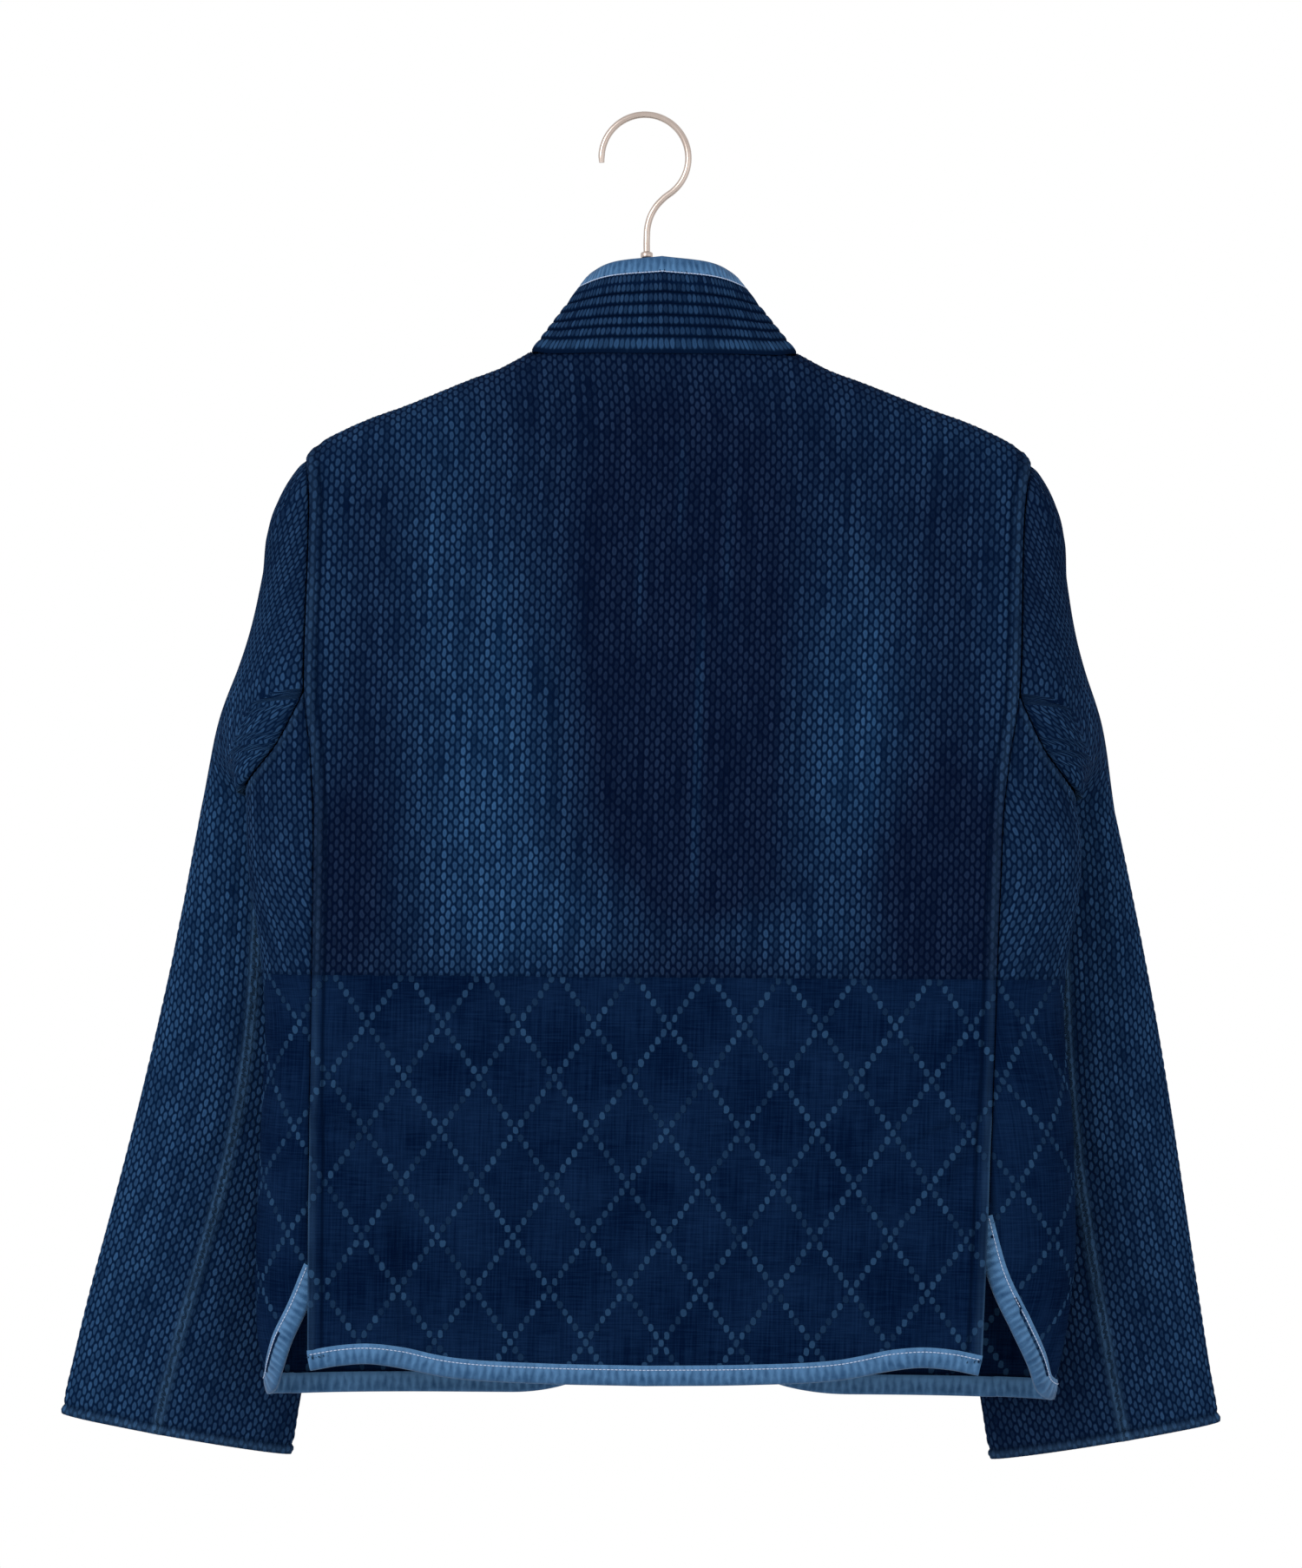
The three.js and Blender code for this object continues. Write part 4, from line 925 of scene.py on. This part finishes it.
TURNS = np.linspace(0, 2 * math.pi, 361)
ARM_STEPS = 40
DOWNS = np.linspace(0, 1, ARM_STEPS + 1)
turn_table = []
for down in DOWNS:
    _, _, _, half, deep, _ = arm_section(1, down)
    angles = math.radians(seam_turn(down)) + TURNS
    lengths = running_length(half * np.cos(angles), deep * np.sin(angles))
    even = np.linspace(0, lengths[-1], HALF_COLUMNS + 1)
    turn_table.append(np.interp(even, lengths, TURNS))
turn_table = np.array(turn_table)


def look_up(table, i, j):
    """Reads a table between its rows and columns."""
    i = np.clip(i, 0, table.shape[0] - 1)
    j = np.clip(j, 0, table.shape[1] - 1)
    i0 = np.minimum(i.astype(int), table.shape[0] - 2)
    j0 = np.minimum(j.astype(int), table.shape[1] - 2)
    s, t = i - i0, j - j0
    if table.ndim > 2:
        s, t = s[..., None], t[..., None]
    near = table[i0, j0] * (1 - t) + table[i0, j0 + 1] * t
    far = table[i0 + 1, j0] * (1 - t) + table[i0 + 1, j0 + 1] * t
    return near * (1 - s) + far * s


def arm_place(side, around, down):
    """The arm's face: around is a share of the way round it from its seam."""
    x, y, z, half, deep, rise = arm_section(side, down)
    share = around - np.floor(around)
    turn = np.radians(seam_turn(down)) + look_up(turn_table, np.clip(down, 0, 1) * ARM_STEPS,
                                                 share * HALF_COLUMNS)
    level = np.hypot(1, rise)
    return np.stack([side * (x + half * np.cos(turn) / level), y + deep * np.sin(turn),
                     z + half * np.cos(turn) * rise / level], axis=-1)


def armhole_line(side):
    """Places along the armhole, from the armpit up behind, over the shoulder and down in front."""
    part = np.arange(10) / 10
    back_z = armhole_scoop(-part)
    up_z = ARMHOLE_CORNER_Z + (SHOULDER_TIP_Z - ARMHOLE_CORNER_Z) * np.sin(
        np.arange(13) / 12 * math.pi / 2)
    front_z = armhole_scoop(part[::-1])
    behind = part * (side_seam(side, back_z) + arm_girth(side, back_z))
    under = front_face(side)(behind - arm_girth(side, back_z), back_z)
    up = back_face(side * back_edge(up_z), cloth_height(back_edge(up_z), up_z))
    down_z = up_z[-2::-1]
    down = front_face(side)(ARMHOLE_X - back_edge(down_z), cloth_height(back_edge(down_z), down_z))
    before = front_face(side)((part[::-1] - 1) * arm_girth(side, front_z), front_z)
    line = np.concatenate([under, up, down, before])
    lengths = running_length(*line.T)
    return line, lengths / lengths[-1]


CAP_STEPS = 128


def cap_measures(side, table):
    """The cloth's own measures on a cap, whose grains keep running along the arm: each column's
    way up is split into the part along the cloth's grain and the part across it."""
    up = np.diff(table, axis=1)
    across = np.gradient(table, axis=0)[:, 1:]
    normal = np.cross(across, up)
    normal /= np.linalg.norm(normal, axis=-1, keepdims=True)
    grain = np.array([-side * SLEEVE_SLOPE, 0, 1]) + 1e-6
    grain = grain - normal * (normal @ grain)[..., None]
    grain /= np.maximum(np.linalg.norm(grain, axis=-1, keepdims=True), 1e-9)
    wide = np.cross(grain, normal)
    wide *= np.sign((wide * across).sum(-1, keepdims=True))
    columns = np.arange(len(table))[:, None] * LATTICE_X
    first = np.zeros((len(table), 1))
    u = columns + np.concatenate([first, np.cumsum((wide * up).sum(-1), axis=1)], axis=1)
    v = np.concatenate([first, np.cumsum((grain * up).sum(-1), axis=1)], axis=1)
    return np.stack([u, v], axis=-1)


def cap_table(side):
    """The cap's places by column round the arm and even steps from the bicep to the armhole,
    with each column's length."""
    line, lengths = armhole_line(side)
    share = np.linspace(0, 1, HALF_COLUMNS + 1)
    part = turn_table[0] / (2 * math.pi)
    start = np.stack([np.interp(part, lengths, line[:, k]) for k in range(3)], axis=-1)
    end = arm_place(side, share * (1 - 1e-9), np.zeros_like(share))
    pull = CAP_PULL * np.linalg.norm(end - start, axis=-1, keepdims=True) + CAP_EASE
    leave = np.stack([way(part) for way in cap_leaves], axis=-1)
    leave = leave / np.linalg.norm(leave, axis=-1, keepdims=True) * pull * [side, 1, 1]
    arrive = np.array([side * SLEEVE_SLOPE, 0, -1]) / math.hypot(SLEEVE_SLOPE, 1) * pull
    first = ARMHOLE_GAP / pull[:, 0]
    t = 1 - np.linspace(0, 1, 4 * CAP_STEPS)[None, :] * (1 - first[:, None])
    t = t[..., None]
    places = (start[:, None] * (1 + 2 * t) * (1 - t) ** 2 + end[:, None] * t * t * (3 - 2 * t)
              + leave[:, None] * t * (1 - t) ** 2 - arrive[:, None] * t * t * (1 - t))
    steps = np.cumsum(np.linalg.norm(np.diff(places, axis=1), axis=-1), axis=1)
    steps = np.concatenate([np.zeros((len(steps), 1)), steps], axis=1)
    even = np.linspace(0, 1, CAP_STEPS + 1)
    table = np.array([[np.interp(even * s[-1], s, p[:, k]) for k in range(3)]
                      for s, p in zip(steps, places)])
    table = table.transpose(0, 2, 1)
    return table, steps[:, -1], cap_measures(side, table)


SLEEVE_CREASES = [
    ((0.26, -0.615), (0.3, -0.64), 0.006, 0.0022),
    ((0.255, -0.628), (0.292, -0.662), 0.005, -0.0018),
    ((0.262, -0.66), (0.305, -0.69), 0.007, 0.0018),
    ((0.235, -0.69), (0.285, -0.665), 0.006, -0.0016),
    ((0.245, -0.28), (0.262, -0.42), 0.01, -0.0016),
    ((0.27, -0.3), (0.285, -0.5), 0.012, 0.0018),
    ((0.268, -0.47), (0.29, -0.6), 0.01, -0.0014),
    ((0.3, -0.7), (0.325, -0.8), 0.01, -0.0012),
    ((0.265, -0.72), (0.262, -0.8), 0.012, 0.0014),
    ((0.235, -0.5), (0.245, -0.57), 0.008, -0.0014),
]


def sleeve_face(side):
    table, lengths, measures = cap_table(side)
    half_columns = np.arange(len(lengths))

    def face(u, v):
        around = u / SLEEVE_AROUND
        column = (around - np.floor(around)) * HALF_COLUMNS
        arm = arm_place(side, around, np.maximum(-v, 0) / ARM_LENGTH)
        long = np.interp(column, half_columns, lengths)
        cap = look_up(table, column, v / long * CAP_STEPS)
        return np.where(v[..., None] > 0, cap, arm)

    def cap_length(u):
        return np.interp(u / LATTICE_X, half_columns, lengths)

    def cloth(u, v):
        cap = look_up(measures, u / LATTICE_X, v / cap_length(u) * CAP_STEPS)
        return np.where(v > 0, cap[..., 0], u), np.where(v > 0, cap[..., 1], v)
    return face, cap_length, cloth


cuff_roll = smooth_line([(0, 0), (0.0015, 0.0006), (0.003, 0.0009), (0.0045, 0.0005),
                         (0.0062, -0.0008), (0.008, 0), (0.014, 0.0002), (0.03, 0)])
sleeve_cotton = indigo_cloth("faded_indigo_sashiko_sleeve")
for side, name in ((-1, "left"), (1, "right")):
    face, cap_length, cloth = sleeve_face(side)
    u = np.arange(HALF_COLUMNS + 1) * LATTICE_X
    arm_rows = np.ceil(ARM_LENGTH / LATTICE_UPPER)
    cap_rows = np.ceil(cap_length(u).max() / LATTICE_UPPER)
    u, v = np.meshgrid(u, np.arange(-arm_rows, cap_rows + 1) * LATTICE_UPPER)
    v = np.clip(v, -ARM_LENGTH, cap_length(u))
    flat = face(u, v)
    x, z = np.abs(flat[..., 0]), flat[..., 2]
    from_cuff = v + ARM_LENGTH
    from_top = cap_length(u) - v
    from_seam = np.minimum(u, SLEEVE_AROUND - u)
    measures = cloth(u, v)
    out = RICE_RISE * np.clip(-v / 0.03, 0, 1) * rice_relief(*measures) + cuff_roll(from_cuff)
    out = out + 0.0009 * bell(from_seam - 0.0015, 0.0022) - 0.0012 * bell(from_top, 0.003)
    out = out + creases(x, z, SLEEVE_CREASES)
    outer = np.clip((x - 0.225 - 0.19 * (-0.436 - z)) / 0.07, -0.5, 1)
    # faded is paler on each sleeve's outer half and darker high on the sleeve; the left sleeve is
    # made paler than the right as painted light from the left
    faded = np.clip(0.5 - 0.1 * side + 0.3 * outer - 0.3 * bell(z + 0.26, 0.08), 0, 1)
    worn = 0.8 * bell(from_seam - 0.0015, 0.002) + 0.55 * bell(from_cuff - 0.0028, 0.0022)
    # deep is painted shade: darker in the cuff's stitched groove, in the trough at the armhole seam
    # and beside the felled seam's ridge
    deep = 0.8 * bell(from_cuff - 0.0064, 0.0008) + 0.5 * bell(from_top, 0.0016)
    deep = deep + 0.4 * bell(from_seam - 0.005, 0.001)
    places = lifted(face, u, v, out, side)
    places[:, -1] = places[:, 0]
    sleeve = cloth_piece("sleeve_cloth_" + name, measures, places, (faded, worn, deep),
                         sleeve_cotton, flip=side < 0)
    stands_for(sleeve, "sleeve_" + name)


# Stand collar: a doubled band of the sashiko quilted in close rows round the neck, so that the
# grains are squeezed into small bars between the stitched grooves. It stands up from the
# neck seam and leans in towards the wearer's neck.
COLLAR_WALL = 0.0032
COLLAR_CLEAR = 0.0007
COLLAR_HEIGHT = 0.059
COLLAR_HALF = 0.192
COLLAR_SIDE = 0.47
COLLAR_GROOVES = (0.009, 0.0159, 0.0223, 0.0297, 0.0366)
COLLAR_END = COLLAR_HALF - TAPE - 0.0006
COLLAR_RISE = COLLAR_HEIGHT - TAPE - 0.0006
COLLAR_STATIONS = [
    (0, 0, (0, -0.018, -0.086)),
    (0.2, 0.04, (0.028, -0.014, -0.089)),
    (0.38, 0.0692, (0.042, -0.004, -0.0945)),
    (0.47, 0.0802, (0.046, 0.005, -0.099)),
    (0.56, 0.074, (0.045, 0.016, -0.106)),
    (0.7, 0.06, (0.04, 0.03, -0.119)),
    (0.85, 0.037, (0.026, 0.041, -0.135)),
    (1, 0.002, (0.003, 0.047, -0.152)),
]
collar_foot = []
for at, base, _ in COLLAR_STATIONS:
    foot = np.array([base])
    if at < COLLAR_SIDE:
        place = np.array([base, -float(back_depth(BACK_NECK_Z)) * float(
            round_off((shoulder_z(base) - BACK_NECK_Z) / SHOULDER_ROUND)), BACK_NECK_Z])
    elif at == COLLAR_SIDE:
        place = np.array([base, 0, SHOULDER_NECK_Z])
    else:
        height = float(front_neck(base))
        place = front_face(1)(ARMHOLE_X - foot, cloth_height(foot, np.array([height])))[0]
    collar_foot.append(place + [0, 0, COLLAR_CLEAR])
foot_lines = [smooth_line([(stop[0], place[k])
                           for stop, place in zip(COLLAR_STATIONS, collar_foot)])
              for k in range(3)]
top_lines = [smooth_line([(stop[0], stop[2][k]) for stop in COLLAR_STATIONS]) for k in range(3)]


def collar_face(around, up):
    at = np.abs(around) / COLLAR_HALF
    share = up / COLLAR_HEIGHT
    foot = np.stack([line(at) for line in foot_lines], axis=-1)
    top = np.stack([line(at) for line in top_lines], axis=-1)
    place = foot + (top - foot) * share[..., None]
    place[..., 0] *= np.where(around < 0, -1, 1)
    return place


def collar_relief(around, up):
    """Ribs between the grooves, crossed by small bars of squeezed grains."""
    stops = (-0.001,) + COLLAR_GROOVES + (COLLAR_RISE + 0.004,)
    out = np.zeros_like(up)
    for low, high in zip(stops, stops[1:]):
        t = np.clip((up - low) / (high - low), 0, 1)
        out = np.maximum(out, np.sqrt(np.sin(math.pi * t)) * 0.0011)
    bars = np.abs(np.sin(math.pi * around / COLUMN)) ** 0.7
    return out - 0.0001 + 0.0003 * bars * (out > 0.0004)


quilted = indigo_cloth("quilted_indigo_sashiko", stagger=0.0)
around = np.arange(-round(COLLAR_END / LATTICE_X) - 1, round(COLLAR_END / LATTICE_X) + 2)
around = np.clip(around * LATTICE_X, -COLLAR_END - UNDER_TAPE, COLLAR_END + UNDER_TAPE)
ups = np.linspace(-0.0016, COLLAR_RISE + UNDER_TAPE, 53)
ups = np.unique(np.concatenate([ups, COLLAR_GROOVES]))
u, v = np.meshgrid(around, ups)
out = collar_relief(u, v)
groove = sum(bell(v - at, 0.0009) for at in COLLAR_GROOVES)
faded = 0.4 + 0.3 * bell(v - 0.004, 0.004) + 0.15 * np.sin(u * 90) ** 2
worn = 0.1 * bell(v - 0.004, 0.004)
# deep is painted shade: darker in the quilted grooves and at the collar's foot
deep = 0.7 * groove + 0.6 * bell(v, 0.0012)
rows = np.interp(v, (0,) + COLLAR_GROOVES + (0.0427, COLLAR_RISE), np.arange(8) * GRAIN)
collar = cloth_piece("collar_cloth", (u, rows), lifted(collar_face, u, v, out),
                     (np.clip(faded, 0, 1), worn, deep), quilted)
stands_for(collar, "collar")


# Pale tape: narrow strips of washed blue cotton folded over the hem, the vents, the front edges
# and the collar's top, and sewn through near their inner edge. The sewing has drawn them into
# small puckers, about 5 mm apart.
TAPE_LAP = 0.0012
PUCKER = 0.005
PUCKER_RISE = 0.0003
SEWN_IN = 0.0004
SEWN_RISE = 0.0012
TAPE_STEP = PUCKER / 4
TAPE_SECTION = [(-0.1, 0.15), (0, 0.7), (0.12, 0.95), (0.45, 1.05), (0.8, 0.9), (0.95, 0.5)]

# Washed blue cotton tape: a fine even weave, with painted light and shade on its puckers, lighter
# on their crests and darker and bluer in their folds
tape_cotton = new_material("washed_blue_cotton_tape")
tape_cloth = add(tape_cotton, "Attribute", out=1, attribute_name="cloth")
along, across, _ = add(tape_cotton, "SeparateXYZ", (tape_cloth,)).node.outputs
wander = add(tape_cotton, "TexNoise", {"Vector": tape_cloth, "Scale": 90.0})
wander = add(tape_cotton, "Math", (wander, 0.004, along), operation="MULTIPLY_ADD")
tooth = add(tape_cotton, "Math", (wander, PUCKER / 2), operation="PINGPONG")
slope = add(tape_cotton, "Math", (across, -0.3, tooth), operation="MULTIPLY_ADD")
fold = add(tape_cotton, "MapRange", {"Value": slope, "From Min": -0.0022, "From Max": 0.0008},
           interpolation_type="SMOOTHSTEP")
cloudy = add(tape_cotton, "TexNoise", {"Vector": tape_cloth, "Scale": 160.0, "Detail": 3.0})
# painted light and shade: the fold value makes the puckers' crests lighter and their folds darker
shade = add(tape_cotton, "Math", (fold, 0.55, cloudy), operation="MULTIPLY_ADD")
shade = add(tape_cotton, "MapRange", {"Value": shade, "From Min": 0.32, "From Max": 1.15})
tape_tone = add(tape_cotton, "Mix", {0: shade, 6: srgb("163c60"), 7: srgb("446b92")}, **TWO_COLOURS)
weave = add(tape_cotton, "TexNoise", {"Vector": tape_cloth, "Scale": 3000.0})
tape_rise = add(tape_cotton, "Math", {0: fold, 1: weave}, operation="ADD")
tape_bump = add(tape_cotton, "Bump", {"Height": tape_rise, "Strength": 0.5, "Distance": 0.0004})
tape_finish = add(tape_cotton, "BsdfPrincipled", {
    "Base Color": tape_tone, "Roughness": 0.92, "Normal": tape_bump, "Specular IOR Level": 0.25,
    "Sheen Weight": 0.1, "Sheen Roughness": 0.5})
add(tape_cotton, "OutputMaterial", {"Surface": tape_finish})

# Pale cotton thread: near white with a touch of lilac, softly twisted
thread = new_material("pale_cotton_thread")
where = add(thread, "TexCoord", out=3)
twist = add(thread, "TexNoise", {"Vector": where, "Scale": 1800.0})
thread_tone = add(thread, "Mix", {0: twist, 6: srgb("8d9dbb"), 7: srgb("b0bfd8")}, **TWO_COLOURS)
thread_finish = add(thread, "BsdfPrincipled", {"Base Color": thread_tone, "Roughness": 0.8})
add(thread, "OutputMaterial", {"Surface": thread_finish})


def even_path(a, b, step):
    """A line of cloth measures at even steps."""
    lengths = running_length(a, b)
    at = np.linspace(0, lengths[-1], max(int(round(lengths[-1] / step)), 2) + 1)
    return np.interp(at, lengths, a), np.interp(at, lengths, b), at


def tape_piece(name, node, face, a, b, wall, side=1):
    """Folded tape along an edge of a cloth, with its stitches."""
    a, b, at = even_path(a, b, TAPE_STEP)
    way = np.stack([np.gradient(b, at), -np.gradient(a, at)])
    way = way / np.hypot(*way)
    outer = [(-TAPE_LAP + share * (TAPE + TAPE_LAP + TAPE_GAP) + 0.0001, rise * 0.001)
             for share, rise in TAPE_SECTION]
    edge = [(TAPE_GAP + TAPE, -wall / 2)]
    inner = [(reach, -wall - rise) for reach, rise in reversed(outer)]
    section = np.array(outer + edge + inner)
    reach, rise = section.T
    near = np.clip(reach / TAPE, 0, 1)
    swell = PUCKER_RISE * np.sin(math.pi * near) * np.sign(rise + wall / 2)
    wave = np.cos(2 * math.pi * at / PUCKER + 1.2 * np.sin(at * 300))
    out = rise[None, :] + swell[None, :] * wave[:, None]
    far_a = a[:, None] + way[0][:, None] * reach[None, :]
    far_b = b[:, None] + way[1][:, None] * reach[None, :]
    places = lifted(face, far_a, far_b, out, side)
    mesh, row, column = grid_of(len(section), len(at))
    cloth = mesh.verts.layers.float_vector.new("cloth")
    across = running_length(reach, rise)
    across = np.minimum(across, across[-1] - across)
    for vertex, i, j in zip(mesh.verts, row, column):
        vertex.co = places[i, j]
        vertex[cloth] = (at[i], across[j], 0)
    mesh.normal_update()
    tape = finish_piece(mesh, name, tape_cotton)
    stands_for(tape, node)
    sewing = stitches(name + "_stitches", face, a + way[0] * SEWN_IN, b + way[1] * SEWN_IN,
                      SEWN_RISE, side)
    return [tape, sewing]


STITCH = 0.0024
STITCH_SIZE = (0.0013, 0.00034, 0.00022)


def stitches(name, face, a, b, out, side):
    """A row of single stitches lying on a cloth."""
    a, b, at = even_path(a, b, STITCH)
    places = lifted(face, a, b, np.full_like(a, out), side)
    above = lifted(face, a, b, np.full_like(a, out + 0.001), side)
    sewn = bmesh.new()
    for k in range(1, len(at) - 1):
        along = Vector(places[k + 1] - places[k - 1]).normalized()
        up = Vector(above[k] - places[k]).normalized()
        across = up.cross(along).normalized()
        turn = Matrix((along, across, up)).transposed().to_4x4()
        place = Matrix.Translation(places[k]) @ turn @ Matrix.Diagonal(STITCH_SIZE + (1,))
        bmesh.ops.create_icosphere(sewn, subdivisions=1, radius=1, matrix=place)
    row = finish_piece(sewn, name, thread)
    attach(row, "root")
    return row


# How many points draw each part of the tapes' paths, before even_path spaces them, and the height
# at which the front tapes end
BACK_HEM_POINTS = 161
FOOT_POINTS = 300
EDGE_POINTS = 200
COLLAR_POINTS = 240
COLLAR_END_POINTS = 20
FRONT_TOP_Z = -0.2045

across = np.linspace(-1, 1, BACK_HEM_POINTS) * (back_edge(-0.76) - GAP)
tapes = tape_piece("back_hem_tape", "back_hem_binding", back_face, across,
                   back_hem(np.abs(across)) + TAPE, WALL)
for side, name in ((-1, "left"), (1, "right")):
    hem = FRONT_HEM_Z + TAPE
    wide = ARMHOLE_X - float(front_edge[side](hem))
    girth = -float(side_seam(side, hem))
    around = GAP + (girth - GAP) * np.linspace(0, 1, FOOT_POINTS) ** 1.5
    beside = vent[side](around)
    before = wide * np.sin(np.linspace(0, math.pi / 2, FOOT_POINTS)[1:])
    foot = front_foot(side, before, np.full_like(before, hem))
    rise = np.linspace(foot[-1], FRONT_TOP_Z, EDGE_POINTS)[1:]
    a = np.concatenate([side_seam(side, beside) * (1 - around / girth), before,
                        ARMHOLE_X - front_edge[side](rise)])
    b = np.concatenate([beside, foot, rise])
    tape_piece("front_tape_" + name, "front_binding_" + name, front_face(side),
                                  a, b, WALL, side)
ends = np.linspace(0.0006, COLLAR_RISE - 0.0005, COLLAR_END_POINTS)
along = np.linspace(-COLLAR_END, COLLAR_END, COLLAR_POINTS)
a = np.concatenate([np.full_like(ends, -COLLAR_END), along, np.full_like(ends, COLLAR_END)])
b = np.concatenate([ends, np.full_like(along, COLLAR_RISE), ends[::-1]])
collar_tape = tape_piece("collar_tape", "collar_binding", collar_face, a[::-1], b[::-1],
                         COLLAR_WALL)


bpy.context.view_layer.update()
